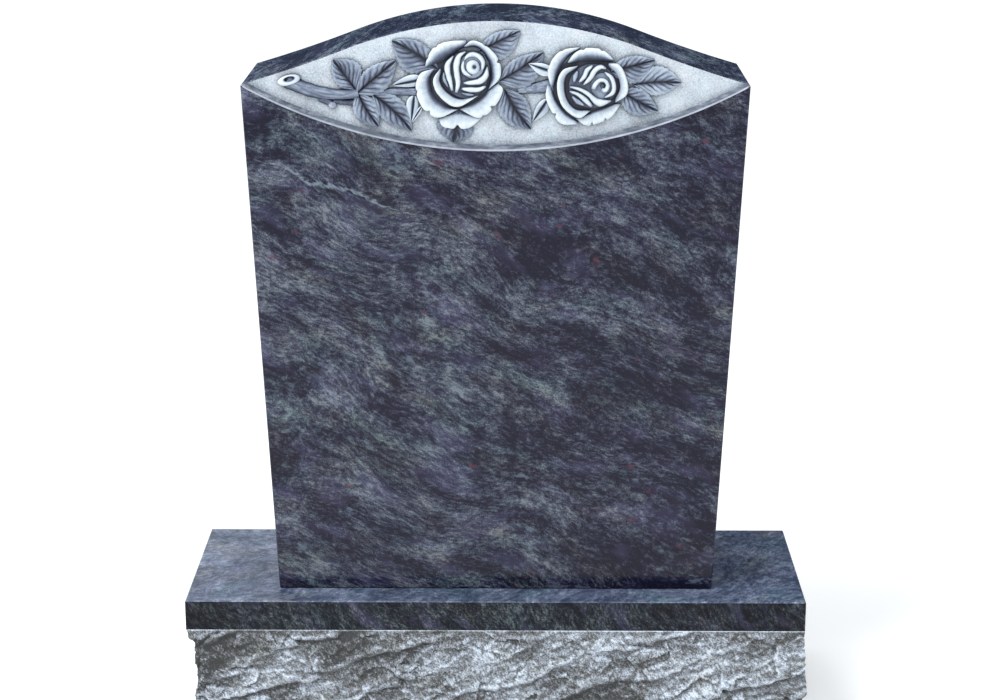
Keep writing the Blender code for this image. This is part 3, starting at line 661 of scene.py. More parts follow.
def pitched_granite():
    """Freshly split stone: a fibrous speckle and olive patches; paler crests, partly bruised stone and
    partly painted highlight, with painted shade in the hollows between; painted light where it faces up,
    and painted shade under the ledges.
    """
    shader = Shader("pitched_granite")
    along_grain = flowing_place(shader, (0.0, ROCK_GRAIN_TURN, 0.0), FIBRE_STRETCH)
    tilted = shader.turned(shader.place, (0.0, -ROCK_BLOOM_TURN, 0.0), PATCH_STRETCH)
    grain = shader.noise(shader.place, *PITCHED_GRAIN)
    tone = shader.total(
        PITCHED_MIDDLE,
        shader.swing(shader.noise(along_grain, *FIBRES), FIBRE_SHARE),
        shader.swing(grain, PITCHED_GRAIN_SHARE),
        shader.swing(shader.noise(tilted, *PATCHES), PATCH_SHARE),
        # crests paler (partly bruised, partly painted highlight) and hollows darker (painted shade);
        # up-facing stone paler (painted light); painted shade under the ledges
        shader.attribute("edge", strength=0.28),
        shader.attribute("painted_top_light", strength=0.30),
        shader.shade(distance=0.030, strength=0.20),
    )
    rust = shader.spread(shader.noise(shader.place, *RUST), *RUST_SPAN, 0.0, RUST_STRENGTH)
    stone = shader.mix(rust, shader.ramp(tone, PITCHED_TONES), OLIVE, "MULTIPLY")
    shader.bump(grain, strength=0.7, distance=0.0014)
    return shader.finish(stone, roughness=0.85)


# Meshes


def mesh_object(name, verts, faces):
    mesh = bpy.data.meshes.new(name)
    mesh.from_pydata(verts, [], faces)
    bm = bmesh.new()
    bm.from_mesh(mesh)
    bmesh.ops.recalc_face_normals(bm, faces=bm.faces)
    bm.to_mesh(mesh)
    bm.free()
    obj = bpy.data.objects.new(name, mesh)
    bpy.context.scene.collection.objects.link(obj)
    return obj


def point_values(obj, name, values):
    """A number at each point of a mesh, for its material to read."""
    layer = obj.data.attributes.new(name, "FLOAT", "POINT")
    layer.data.foreach_set("value", np.asarray(values, np.float32).reshape(-1))


def loft(rings, name, spans=None, materials=None):
    """A closed solid through rings of points, capped at both ends; spans name each side's material."""
    count = len(rings[0])
    verts = [point for ring in rings for point in ring]
    faces = [tuple(range(count)), tuple(range(len(verts) - count, len(verts)))]
    for row in range(len(rings) - 1):
        for i in range(count):
            j = (i + 1) % count
            here, there = row * count, (row + 1) * count
            faces.append((here + i, here + j, there + j, there + i))
    obj = mesh_object(name, verts, faces)
    if spans:
        kinds = list(dict.fromkeys(spans))
        for kind in kinds:
            obj.data.materials.append(materials[kind])
        used = [kinds.index(span) for span in spans]
        slots = [0, 0, *(used * (len(rings) - 1))]
        obj.data.polygons.foreach_set("material_index", slots)
        join_doubles(obj.data)
    return obj


def join_doubles(mesh):
    """Points that fall together made one, with the faces that this closes up taken out."""
    bm = bmesh.new()
    bm.from_mesh(mesh)
    bmesh.ops.remove_doubles(bm, verts=bm.verts, dist=1e-6)
    bm.to_mesh(mesh)
    bm.free()


# Carving


def catmull_rom(points, steps=16):
    """Points along a smooth curve through the given ones."""
    given = np.array(points, float)
    ends = np.vstack([2 * given[0] - given[1], given, 2 * given[-1] - given[-2]])
    t = np.linspace(0, 1, steps, endpoint=False)[:, None]
    path = []
    for before, start, end, after in zip(ends, ends[1:], ends[2:], ends[3:]):
        path.append(
            start
            + (end - before) * t / 2
            + (2 * before - 5 * start + 4 * end - after) * t**2 / 2
            + (3 * start - before - 3 * end + after) * t**3 / 2
        )
    return np.vstack([*path, given[-1]])


def along_path(points, shares):
    """Points at shares of the length of a smooth curve."""
    path = catmull_rom(points)
    reach = np.concatenate([[0], np.cumsum(np.hypot(*np.diff(path, axis=0).T))])
    return np.stack([np.interp(shares * reach[-1], reach, path[:, k]) for k in (0, 1)], axis=-1)


def bowed_line(start, end, bow, shares):
    """Points and left-hand normals along a line from start to end that bows to the left."""
    start, end = np.array(start, float), np.array(end, float)
    along = end - start
    length = np.hypot(*along)
    ahead = along / length
    left = np.array([ahead[1], -ahead[0]])
    s = shares[:, None]
    points = start + along * s + left * (4 * bow * s * (1 - s))
    normals = left * length - ahead * (4 * bow * (1 - 2 * s))
    return points, normals / np.linalg.norm(normals, axis=1, keepdims=True)


def smooth(low, high, value):
    t = np.clip((value - low) / (high - low), 0, 1)
    return t * t * (3 - 2 * t)


def ripple(points, size, seed):
    """Gentle unevenness, about -1 to 1, over drawn points; size is in drawn units."""
    flat = points.reshape(-1, 2) / size
    values = [noise.noise(Vector((x, y, seed))) for x, y in flat]
    return np.array(values).reshape(points.shape[:-1])


class Carving:
    """Raised shapes gathered into one mesh of closed bodies, each with a shade for its tone: painted shade
    and painted highlight.
    """

    def __init__(self):
        self.verts, self.faces, self.shades = [], [], []

    def add(self, drawn, heights, shades, closed=False):
        """The solid under one sheet of (along, across) points, let into the stone behind the panel."""
        rows, columns = heights.shape
        x = (drawn[..., 0] - CARVING_ZERO[0]) * CARVING_UNIT
        z = SHOULDER - (drawn[..., 1] - CARVING_ZERO[1]) * CARVING_UNIT
        y = PANEL_FACE - heights * MILLIMETRE
        top = np.stack([x, y, z], axis=-1).reshape(-1, 3)
        start = len(self.verts)
        self.verts.extend(map(tuple, top))
        self.shades.extend(shades.reshape(-1))
        index = np.arange(rows * columns).reshape(rows, columns) + start
        if closed:
            index = np.vstack([index, index[:1]])
        quads = np.stack([index[:-1, :-1], index[1:, :-1], index[1:, 1:], index[:-1, 1:]], axis=-1)
        self.faces.extend(map(tuple, quads.reshape(-1, 4).tolist()))
        if closed:
            self.wall_and_floor(index[:-1, -1], index[:-1, 0])
        else:
            edge = np.concatenate([index[:, 0], index[-1, 1:], index[-2::-1, -1], index[0, -2:0:-1]])
            self.wall_and_floor(edge)

    def wall_and_floor(self, edge, inner=None):
        """Walls down from the edge, and from the inner edge of a ring, to a flat floor, dark with painted
        shade.
        """
        sunk = []
        for loop in (edge, inner):
            if loop is None:
                continue
            start = len(self.verts)
            for i in loop:
                x, _, z = self.verts[i]
                self.verts.append((x, PANEL_FACE + CARVING_ROOT, z))
                # the walls are darkest: painted shade round each shape's foot
                self.shades.append(0.0)
            low = list(range(start, start + len(loop)))
            sunk.append(low)
            count = len(loop)
            for i in range(count):
                j = (i + 1) % count
                self.faces.append((int(loop[i]), int(loop[j]), low[j], low[i]))
        if inner is None:
            self.faces.append(tuple(sunk[0]))
        else:
            outer, inside = sunk
            count = len(outer)
            for i in range(count):
                j = (i + 1) % count
                self.faces.append((outer[i], outer[j], inside[j], inside[i]))

    def finish(self, name, material):
        obj = mesh_object(name, self.verts, self.faces)
        point_values(obj, "shade", self.shades)
        obj.data.materials.append(material)
        obj.data.shade_smooth()
        obj.data.set_sharp_from_angle(angle=math.radians(55))
        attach(obj, "root")
        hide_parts("tablet")


PETAL_CREST = 0.80
PETAL_ROLL = 0.20
# Petal tones: dark in the root's crease (partly dark paint, partly painted shade), a painted highlight at
# the rim, and painted shade under the rolled rim and at the tucked ends.
PETAL_ROOT_SHADE = 0.06
PETAL_LIP = ((0.985, 1.0, 0.55), (0.95, 2.2, 0.18), (0.93, 3.4, 0.0))  # place, drop in millimetres, shade
PETAL_ALONG = np.linspace(0, 1, 64)
PETAL_OUT = np.concatenate([np.linspace(0, 0.7, 12, endpoint=False), np.linspace(0.7, 1, 9)])
PETAL_TUCK = 0.22  # how much lower its ends lie
PETAL_UNEVEN = 0.30  # in millimetres
PETAL_RISE_SHADE = 0.66
PETAL_RIM_HIGHLIGHT = 0.28
PETAL_END_SHADE = 0.45
PETAL_STROKES = (26, 2)  # chisel strokes along the rim, and from root to rim
PETAL_STROKE_SHADE = 0.07
PETAL_CLOUD = 0.06
RIM_WAVER = 0.02  # as a share of the petal's width
NICK_START = 0.55  # share of the way out at which a nick begins
NICK_SINK = 2.2  # in millimetres


def add_petal(carving, number, crest, root_height, shaded_share, rim_points, root_points, nicks):
    """A petal that rises out of a dark crease to a pale crest and rolls over at its rim; the crease is dark
    partly with dark paint and partly with painted shade, the crest pale with a painted highlight.
    """
    s, t = PETAL_ALONG, PETAL_OUT
    rim, root = along_path(rim_points, s), along_path(root_points, s)
    nick = sum((depth * np.exp(-(((s - at) / width) ** 2)) for at, depth, width in nicks), np.zeros_like(s))
    nick += RIM_WAVER * ripple(rim, size=4.0, seed=number + 0.5)
    lip_places, lip_drops, lip_shades = np.array(PETAL_LIP).T
    places = np.concatenate([t, lip_places])
    reach = places * (1 - nick[:, None] * smooth(NICK_START, 1.0, places))
    drawn = root[:, None] + (rim - root)[:, None] * reach[..., None]
    rise = 1 - (1 - np.minimum(places / PETAL_CREST, 1)) ** 2
    fall = np.clip((places - PETAL_CREST) / (1 - PETAL_CREST), 0, 1)
    heights = root_height + (crest - root_height) * rise - crest * PETAL_ROLL * fall**2
    heights = heights - np.concatenate([np.zeros_like(t), lip_drops])
    heights = np.broadcast_to(heights, reach.shape).copy()
    heights += PETAL_UNEVEN * ripple(drawn, size=9.0, seed=number) * smooth(0.1, 0.6, places)
    heights -= NICK_SINK * nick[:, None] * smooth(0.6, 1.0, places)
    from_middle = np.abs(2 * s - 1)[:, None]
    heights *= 1 - PETAL_TUCK * from_middle**6
    # dark from the root (partly dark paint, partly painted shade), and a painted highlight towards the rim
    shades = PETAL_ROOT_SHADE + PETAL_RISE_SHADE * smooth(0.0, shaded_share, places)
    shades += PETAL_RIM_HIGHLIGHT * smooth(0.6 * shaded_share, 0.97, places)
    # painted shade under the rolled rim, and at the ends where they tuck under
    shades[len(t) :] = lip_shades
    shades = np.broadcast_to(shades, reach.shape) * (1 - PETAL_END_SHADE * from_middle**10)
    stroked = np.stack(np.broadcast_arrays(s[:, None] * PETAL_STROKES[0], places * PETAL_STROKES[1]), -1)
    strokes = ripple(stroked, size=1.0, seed=number + 3.3) * smooth(0.2, 0.5, places)
    shades = shades + PETAL_STROKE_SHADE * strokes
    shades = shades + PETAL_CLOUD * ripple(drawn, size=7.0, seed=number + 5.1)
    carving.add(drawn, heights, shades)


RIDGE_SIDE_SHADE = 0.14
RIDGE_SPREAD = 1.14
RIDGE_UNEVEN = 0.12
RIDGE_FOOT = 0.55  # height of a ridge's edges, as a share of its crown
RIDGE_ALONG = np.linspace(0, 1, 40)
RIDGE_ACROSS = np.sin(np.linspace(-math.pi / 2, math.pi / 2, 15))
RIDGE_END = 0.12  # share of its length over which each end runs out
RIDGE_END_DROP = 0.15
RIDGE_END_SHADE = 0.35
RIDGE_CLOUD = 0.05


def add_ridge(carving, number, crown, tone, widths, points):
    """A rounded fold along a curved middle line, pale on top and dark down both sides with painted shade.
    """
    s, t = RIDGE_ALONG, RIDGE_ACROSS
    middle = along_path(points, s)
    ahead = np.gradient(middle, axis=0)
    ahead /= np.linalg.norm(ahead, axis=1, keepdims=True)
    side = np.stack([ahead[:, 1], -ahead[:, 0]], -1)
    width = np.interp(s, np.linspace(0, 1, len(widths)), widths)
    width *= RIDGE_SPREAD + RIDGE_UNEVEN * ripple(middle, size=6.0, seed=number)
    drawn = middle[:, None] + side[:, None] * (width[:, None] * t)[..., None]
    ends = 1 - (smooth(0.0, RIDGE_END, s) * smooth(1.0, 1 - RIDGE_END, s))[:, None]
    heights = crown * (RIDGE_FOOT + (1 - RIDGE_FOOT) * np.sqrt(1 - t**2)) * (1 - RIDGE_END_DROP * ends)
    # painted shade down the fold's sides and at its ends, where they run under
    shades = RIDGE_SIDE_SHADE + (tone - RIDGE_SIDE_SHADE) * (1 - np.abs(t) ** 5) * (1 - RIDGE_END_SHADE * ends)
    carving.add(drawn, heights, shades + RIDGE_CLOUD * ripple(drawn, size=5.0, seed=number + 2.2))


LEAF_LIP = ((1.0, 1.0), (0.97, 2.0))  # place, drop in millimetres
LEAF_RIB = 0.55
LEAF_EDGE_DROP = 0.35
VEIN_LEAN = 1.15
VEIN_WIDTH = 0.11  # of the space from one vein to the next
LEAF_ALONG = np.linspace(0.015, 0.995, 84)
LEAF_ACROSS = np.linspace(-1, 1, 45)
LEAF_ROUNDING = 0.9  # under 1, the blade is fuller towards its ends
LEAF_SWELL_WAVE = (0.2, 0.7)  # where in a half wave the swell starts, and how much of one it takes
# Leaf tones: painted shade in the hollow by the rib and under the rolled lip, a painted highlight along the
# edges and on the swells between veins; the vein and midrib grooves are dark partly with dark paint and
# partly with painted shade.
LEAF_RIB_SHADE = 0.22
LEAF_EDGE_HIGHLIGHT = 0.14
LEAF_LIP_SHADE = 0.06
LEAF_CLOUD = 0.12
LEAF_MIDRIB = (0.07, 0.26)  # half width as a share of the blade's, and how dark it is
SEPAL_MIDRIB = (0.22, 0.55)
MIDRIB_DEPTH = 0.7
VEIN_CURVE = 1.15
VEIN_WANDER = 0.20
VEIN_WANDER_PITCH = (9, 3)  # waves along the blade and across it
VEIN_STRENGTH = (0.75, 0.45)  # of the middling vein, and how far the others stray from it
VEIN_RHYTHM = 2.4
VEIN_DEPTH = 0.60
VEIN_DARK = 0.42
BULGE_HEIGHT = 0.50
BULGE_HIGHLIGHT = 0.17
TEETH_TO_VEIN = 1.5
TOOTH_REACH = 0.09


def leaf_veins(s, t, number, veins, lean):
    """Side veins that slant to the edge: how deep they lie, and how full the blade is between them."""
    side = np.abs(t)
    places = np.broadcast_arrays(s[:, None] * VEIN_WANDER_PITCH[0], side * VEIN_WANDER_PITCH[1])
    phase = s[:, None] * veins - lean * side**VEIN_CURVE
    phase = phase + VEIN_WANDER * ripple(np.stack(places, -1), size=1.0, seed=number)
    which = np.round(phase)
    off = np.abs(phase - which)
    strength = VEIN_STRENGTH[0] + VEIN_STRENGTH[1] * np.sin(VEIN_RHYTHM * which + number + np.sign(t))
    grooves = np.exp(-((off / VEIN_WIDTH) ** 2)) * strength * smooth(0.95, 0.15, side)
    bulges = np.sin(math.pi * off) ** 2 * smooth(0.05, 0.35, side) * smooth(1.05, 0.7, side)
    return grooves, bulges


def add_leaf(carving, number, edge, swell, tone, base, tip, bow, left, right, widest, veins):
    """A blade of two swelling halves, with a sunk rib, side veins and toothed edges."""
    s = LEAF_ALONG
    lip_places, lip_drops = np.array(LEAF_LIP).T
    t = np.concatenate([-lip_places[::-1], LEAF_ACROSS, lip_places])
    drops = np.concatenate([lip_drops[::-1], np.zeros_like(LEAF_ACROSS), lip_drops])
    rib, normal = bowed_line(base, tip, bow, s)
    side = np.abs(t)
    halves = np.where(t < 0, left, right)
    skew = math.log(0.5) / math.log(widest)
    width = (np.sin(math.pi * s**skew) ** LEAF_ROUNDING)[:, None] * halves
    start, share = LEAF_SWELL_WAVE
    heights = edge + swell * np.sin(math.pi * (start + share * s))[:, None] * leaf_section(side) - drops
    # painted shade by the rib, and a painted highlight along the edges
    shades = tone - LEAF_RIB_SHADE * (1 - smooth(0.0, 0.5, side)) + LEAF_EDGE_HIGHLIGHT * smooth(0.65, 0.95, side)
    shades = np.broadcast_to(shades, heights.shape).copy()
    if veins:
        lean = VEIN_LEAN * veins * halves / math.dist(base, tip)
        teeth = (s[:, None] * veins * TEETH_TO_VEIN - lean) % 1.0
        width = width * (1 + TOOTH_REACH * (teeth - 0.5) * smooth(0.7, 1.0, side))
        grooves, bulges = leaf_veins(s, t, number, veins, lean)
        heights += BULGE_HEIGHT * bulges - VEIN_DEPTH * grooves
        # painted highlight on the swells; grooves dark partly with dark paint and partly with painted shade
        shades += BULGE_HIGHLIGHT * bulges * (1 - 0.4 * side) - VEIN_DARK * grooves
    drawn = rib[:, None] - normal[:, None] * (width * t)[..., None]
    rib_width, rib_dark = LEAF_MIDRIB if veins else SEPAL_MIDRIB
    midrib = np.exp(-((side / rib_width) ** 2)) * smooth(1.0, 0.85, s)[:, None]
    heights -= MIDRIB_DEPTH * midrib
    # midrib dark partly with dark paint and partly with painted shade
    shades -= rib_dark * midrib
    shades += LEAF_CLOUD * ripple(drawn, size=11.0, seed=number + 4.7)
    # painted shade under the rolled lip
    shades = np.where(drops > 0, LEAF_LIP_SHADE, shades)
    carving.add(drawn, heights, shades)


def leaf_section(side):
    """The blade's swell from rib to edge: hollow at the rib, fullest half way out."""
    hollow = 1 - LEAF_RIB * (1 - np.minimum(side * 2, 1)) ** 2
    return hollow * (1 - (1 - LEAF_EDGE_DROP) * np.maximum(side * 2 - 1, 0) ** 2)


STEM_ALONG = np.linspace(0, 1, 72)
STEM_ACROSS = np.sin(np.linspace(-math.pi / 2, math.pi / 2, 29))
STEM_SECTION = 1.08  # over 1, so that its edges stand clear of the floor
STEM_KNOTS = 0.10
KNOT_PITCH = 12.0  # waves along the stem
BARK_PITCH = (7.0, 4.5)  # waves along the stem and across it
BARK_HEIGHT = 0.6
BARK_SHADE = 0.16
STEM_TOP_HIGHLIGHT = 0.08
STEM_HIGHLIGHT_LINE = -0.25  # how far across it the palest line lies
STEM_SIDE_SHADE = 0.7


def add_stem(carving, number, crown, tone, start, end, bow, start_width, end_width):
    """A half-round stem with bark lines along it, a painted highlight along its top and painted shade down
    its sides.
    """
    s, t = STEM_ALONG, STEM_ACROSS
    rib, normal = bowed_line(start, end, bow, s)
    knots = np.array([noise.noise(Vector((KNOT_PITCH * share, number, 0.0))) for share in s])
    width = (start_width + (end_width - start_width) * s) * (1 + STEM_KNOTS * knots)
    drawn = rib[:, None] - normal[:, None] * (width[:, None] * t)[..., None]
    barked = np.stack(np.broadcast_arrays(s[:, None] * BARK_PITCH[0], t * BARK_PITCH[1]), -1)
    bark = ripple(barked, size=1.0, seed=number)
    heights = crown * np.sqrt(STEM_SECTION - t**2) + BARK_HEIGHT * bark
    # painted highlight along the top, and painted shade down the sides
    shades = tone + STEM_TOP_HIGHLIGHT * (1 - (t - STEM_HIGHLIGHT_LINE) ** 2) + BARK_SHADE * bark
    shades = shades - STEM_SIDE_SHADE * tone * smooth(0.70, 1.0, np.abs(t))
    carving.add(drawn, heights, shades)


BOSS_ROUND = np.linspace(0, 2 * math.pi, 48, endpoint=False)[:, None]
BOSS_OUT = np.linspace(0, 1, 14)
BOSS_FALL = 0.30
RING_OPENING = 0.1  # a boss that is open by more than this is a ring
RING_LIP = 0.35  # share of a ring's width over which its inner edge rounds up
RING_LIP_HEIGHT = 1.5
BOSS_INSIDE_SHADE = 0.35
BOSS_EDGE_SHADE = 0.45
BOSS_FAR_SHADE = 0.12  # how dark its side away from the light is
BOSS_LIGHT_TURN = 0.6


def add_boss(carving, crest, centre, wide, tall, opening, hole, tilt, bright):
    """An oval boss, or a ring where a share of it is open, with its hole set off the centre; painted shade
    where a ring rounds into its hole, at its foot and on its side away from the light.
    """
    s, t = BOSS_ROUND, BOSS_OUT
    size = opening + (1 - opening) * t
    x, y = wide * size * np.cos(s) + hole[0] * (1 - t), tall * size * np.sin(s) + hole[1] * (1 - t)
    cos, sin = math.cos(tilt), math.sin(tilt)
    drawn = np.array(centre) + np.stack([x * cos + y * sin, y * cos - x * sin], -1)
    rounded = np.minimum(t / RING_LIP, 1) if opening > RING_OPENING else np.ones_like(t)
    heights = crest * (1 - BOSS_FALL * t**4) - RING_LIP_HEIGHT * (1 - np.sqrt(1 - (1 - rounded) ** 2))
    # painted shade into a ring's hole, at the foot, and on the side away from the light
    shades = bright * (BOSS_INSIDE_SHADE + (1 - BOSS_INSIDE_SHADE) * rounded)
    shades = shades * (1 - BOSS_EDGE_SHADE * smooth(0.85, 1.0, t))
    shades = shades * (1 - BOSS_FAR_SHADE * np.cos(s + BOSS_LIGHT_TURN))
    carving.add(drawn, heights * np.ones_like(s), shades, closed=True)


MOUND_ROUND = np.linspace(0, 2 * math.pi, 40, endpoint=False)[:, None]
MOUND_OUT = np.linspace(0.02, 1, 8)
MOUND_FALL = 0.25


def add_mound(carving, crest, centre, wide, tall, shade):
    """A low dark mound that fills the hollows between petals, toned as painted shade."""
    s, t = MOUND_ROUND, MOUND_OUT
    drawn = np.array(centre) + np.stack([wide * t * np.cos(s), tall * t * np.sin(s)], -1)
    heights = crest * (1 - MOUND_FALL * t**2) * np.ones_like(s)
    carving.add(drawn, heights, np.full(heights.shape, shade), closed=True)


# Tablet


def top_height(off_centre):
    """Height of the serpentine top at distances from the centre line."""
    off = np.abs(off_centre)
    lean = math.asin(CROWN_HALF_CHORD / CROWN_RADIUS)
    middle = CROWN - CROWN_RADIUS + np.sqrt(np.maximum(CROWN_RADIUS**2 - off**2, 0))
    turn = np.arcsin(math.sin(lean) - (off - CROWN_HALF_CHORD) / FLANK_RADIUS)
    flank = CROWN - CROWN_RADIUS * (1 - math.cos(lean)) - FLANK_RADIUS * (np.cos(turn) - math.cos(lean))
    return np.where(off <= CROWN_HALF_CHORD, middle, flank)


SHOULDER = float(top_height(TABLET_TOP_WIDTH / 2))


def panel_arc(off_centre):
    """Height of the panel's lower arc on the tablet's front, hung from shoulder to shoulder."""
    half = TABLET_TOP_WIDTH / 2
    radius = (half**2 + PANEL_SAG**2) / (2 * PANEL_SAG)
    return SHOULDER + radius - PANEL_SAG - math.sqrt(radius**2 - off_centre**2)


TABLET_SPANS = (
    "polished", "polished", "arris", "slope", "frosted", "crown",
    "crown", "crown", "polished", "polished", "polished",
)


def tablet_column(share):
    """Points round the tablet at a share of its half width; TABLET_SPANS names what follows each."""
    x, foot_x = share * TABLET_TOP_WIDTH / 2, share * TABLET_FOOT_WIDTH / 2
    top, arc, back = float(top_height(x)), panel_arc(x), -TABLET_FRONT
    rise = min(PANEL_SLOPE, top - arc)
    floor = TABLET_FRONT + PANEL_DEPTH * rise / PANEL_SLOPE
    slant = math.hypot(PANEL_DEPTH, PANEL_SLOPE)
    ease = min(PANEL_ARRIS, rise / 3)
    ease_top = min(TABLET_ARRIS, top - arc - rise)
    return [
        (foot_x, TABLET_FRONT + TABLET_ARRIS, TABLET_FOOT),
        (foot_x, TABLET_FRONT, TABLET_FOOT + TABLET_ARRIS),
        (x, TABLET_FRONT, arc - ease),
        (x, TABLET_FRONT + ease * PANEL_DEPTH / slant, arc + ease * PANEL_SLOPE / slant),
        (x, floor, arc + rise),
        (x, floor, top - ease_top),
        (x, floor + ease_top, top),
        (x, back - TABLET_ARRIS, top),
        (x, back, top - TABLET_ARRIS),
        (foot_x, back, TABLET_FOOT + TABLET_ARRIS),
        (foot_x, back - TABLET_ARRIS, TABLET_FOOT),
    ]


def tablet_cap(share):
    """The tablet's flat side, drawn in by the arris all round."""
    low_y, high_y = TABLET_FRONT + TABLET_ARRIS, -TABLET_FRONT - TABLET_ARRIS
    low_z, high_z = TABLET_FOOT + TABLET_ARRIS, SHOULDER - TABLET_ARRIS
    return [
        (x, min(max(y, low_y), high_y), min(max(z, low_z), high_z)) for x, y, z in tablet_column(share)
    ]


def build_tablet(materials):
    """The tapered stone with its panel sunk: polished outside, honed on the slope, frosted in the panel."""
    reach = 1 - 2 * TABLET_ARRIS / TABLET_TOP_WIDTH
    columns = [tablet_column(share) for share in np.linspace(-reach, reach, 2 * ARC_STEPS + 1)]
    tablet = loft([tablet_cap(-1.0), *columns, tablet_cap(1.0)], "tablet_stone", TABLET_SPANS, materials)
    tablet.data.shade_smooth()
    tablet.data.set_sharp_from_angle(angle=math.radians(25))
    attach(tablet, "root")
    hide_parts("tablet")


def build_carving(material):
    for name, petals, ridges, beds, eye in (
        ("rose_left", ROSE_LEFT, HEART_LEFT, BEDS_LEFT, EYE_LEFT),
        ("rose_right", ROSE_RIGHT, HEART_RIGHT, BEDS_RIGHT, EYE_RIGHT),
    ):
        carving = Carving()
        for _, *shape in beds:
            add_mound(carving, *shape)
        for number, (_, *shape) in enumerate(petals):
            add_petal(carving, number * 1.7, *shape)
        for number, (_, *shape) in enumerate(ridges):
            add_ridge(carving, number * 1.3, *shape)
        add_boss(carving, *eye[1:])
        carving.finish(name, material)
    leaves = Carving()
    for number, (_, *shape) in enumerate(LEAVES):
        add_leaf(leaves, number * 2.3, *shape)
    for number, (_, *shape) in enumerate(SEPALS):
        add_leaf(leaves, number * 2.9, *shape)
    leaves.finish("carved_leaves", material)
    stems = Carving()
    for number, (_, *shape) in enumerate(STEMS):
        add_stem(stems, number * 3.1, *shape)
    for _, *shape in STEM_BOSSES:
        add_boss(stems, *shape)
    stems.finish("carved_stem", material)


# Base


def ledge_noise(long, short, sheet, waves):
    """Smooth noise, about -1 to 1, at a place counted in ledges."""
    (pitch_long, pitch_short), (start_long, start_short) = waves
    return noise.noise(Vector((pitch_long * long + start_long, pitch_short * short + start_short, sheet)))


def ledges(along, height, sheet, slant=ROCK_SLANT, size=1.0):
    """0 to 1: split stone in slanting ledges, each a shelf that tilts up from its edge, over a steep
    undercut. The ledges end where the stone broke across."""
    cos, sin = math.cos(slant), math.sin(slant)
    long = (along * cos + height * sin) / (size * ROCK_LEDGE_LENGTH)
    short = (height * cos - along * sin) / (size * ROCK_LEDGE_HEIGHT)
    wander = ledge_noise(long, short, sheet, ROCK_WANDER_NOISE)
    frayed = ROCK_FRAY * ledge_noise(long, short, sheet + ROCK_FRAY_SHEET, ROCK_FRAY_NOISE)
    reach = ROCK_BREAKS * long + ROCK_BREAK_LEAN * short + wander + frayed
    broken = noise.cell(Vector((reach, sheet, 0.5)))
    phase = (short + ROCK_WANDER * wander + frayed + ROCK_SHIFT * broken) % 1.0
    profile = float(np.interp(phase, *zip(*ROCK_PROFILE)))
    strength = ROCK_STRENGTH[0] + ROCK_STRENGTH[1] * ledge_noise(long, short, sheet, ROCK_STRENGTH_NOISE)
    broad = ROCK_BROAD[0] + ROCK_BROAD[1] * ledge_noise(long, short, sheet, ROCK_BROAD_NOISE)
    return ROCK_PROFILE_SHARE * profile * max(strength, 0.0) + (1 - ROCK_PROFILE_SHARE) * broad


FACET_SEED = 7.1  # draws each break's tilt from its middle
FACET_STEP = 0.35


def facets(along, height, sheet, size):
    """-1 to 1: small flat breaks, each tilted its own way and standing a little in or out."""
    place = Vector((along / size, height / size, sheet))
    _, points = noise.voronoi(place)
    tilt = noise.cell_vector(points[0] * FACET_SEED)
    return (place - points[0]).dot(tilt - Vector((0.5, 0.5, 0.5))) + FACET_STEP * (tilt.z - 0.5)


def rock_depth(side, along, height):
    """How far the rough stone stands out from the polished band's plane, at a place on one side."""
    drop = BASE_TOP - BASE_BAND - height
    sheet = ROCK_SHEET * list(ROCK_LEAN).index(side)
    rough = ROCK_SWELL + ROCK_RELIEF * (ledges(along, height, sheet) - ROCK_MIDDLE)
    splinters = ledges(along, height, sheet + SPLINTER_SHEET, SPLINTER_SLANT, SPLINTER_SIZE)
    rough += SPLINTER_DEPTH * (splinters - ROCK_MIDDLE)
    for depth, size, flat, slant, layer in FACETS:
        rough += depth * facets(along, flat * height + slant * along, sheet + layer, size)
    rough += GRIT_DEPTH * noise.noise(Vector((along, height, sheet)) * GRIT_PITCH)
    lean = ROCK_LEAN[side] * min(drop / (ROCK_FOOT_FADE * ROCK_FADE), 1.0)
    return rough * min(drop / ROCK_FADE, 1.0) + lean


def points_round_base():
    """Each point round the base, with its outward ways: (side, outward, share, place along that side)."""
    half_x, half_y = BASE_WIDTH / 2, BASE_DEPTH / 2
    signs = ((-1, -1), (1, -1), (1, 1), (-1, 1))
    corners = [Vector((half_x * sign_x, half_y * sign_y)) for sign_x, sign_y in signs]
    outwards = [Vector(way) for way in ((0, -1), (1, 0), (0, 1), (-1, 0))]
    sides = list(zip(ROCK_LEAN, outwards))
    points = []
    for i, corner in enumerate(corners):
        run = corners[(i + 1) % 4] - corner
        count = round(run.length / ROCK_STEP)
        for k in range(count):
            place = corner + run * (k / count)
            from_start, to_end = (place - corner).length, run.length - (place - corner).length
            ways = [(*sides[i], 1.0)]
            if from_start < ROCK_CORNER:
                ways.append((*sides[i - 1], 1 - from_start / ROCK_CORNER))
            if to_end < ROCK_CORNER:
                ways.append((*sides[(i + 1) % 4], 1 - to_end / ROCK_CORNER))
            points.append((place, ways))
    return points


def band_ring(round_base, height, out):
    """A ring of points round the polished band, let out by out on every side."""
    ring = []
    for place, ways in round_base:
        outward = sum((way for _, way, share in ways if share == 1.0), Vector((0, 0)))
        ring.append((*(place + outward * out), height))
    return ring


def rock_ring(round_base, height):
    """A ring of points round the rough stone, and how far each stands out of the band's plane."""
    ring, depths = [], []
    for place, ways in round_base:
        corner = Vector((math.copysign(BASE_WIDTH / 2, place.x), math.copysign(BASE_DEPTH / 2, place.y)))
        point, stands_out = place.copy(), 0.0
        for number, (side, outward, share) in enumerate(ways):
            nearest = corner if number else place
            along = nearest.x if side in ("front", "back") else nearest.y
            depth = rock_depth(side, along, height) * share
            stands_out += depth
            point += outward * depth
        point.x = min(max(point.x, cad_low.x), cad_high.x)
        point.y = min(max(point.y, cad_low.y), cad_high.y)
        ring.append((*point, height))
        depths.append(stands_out)
    return ring, depths


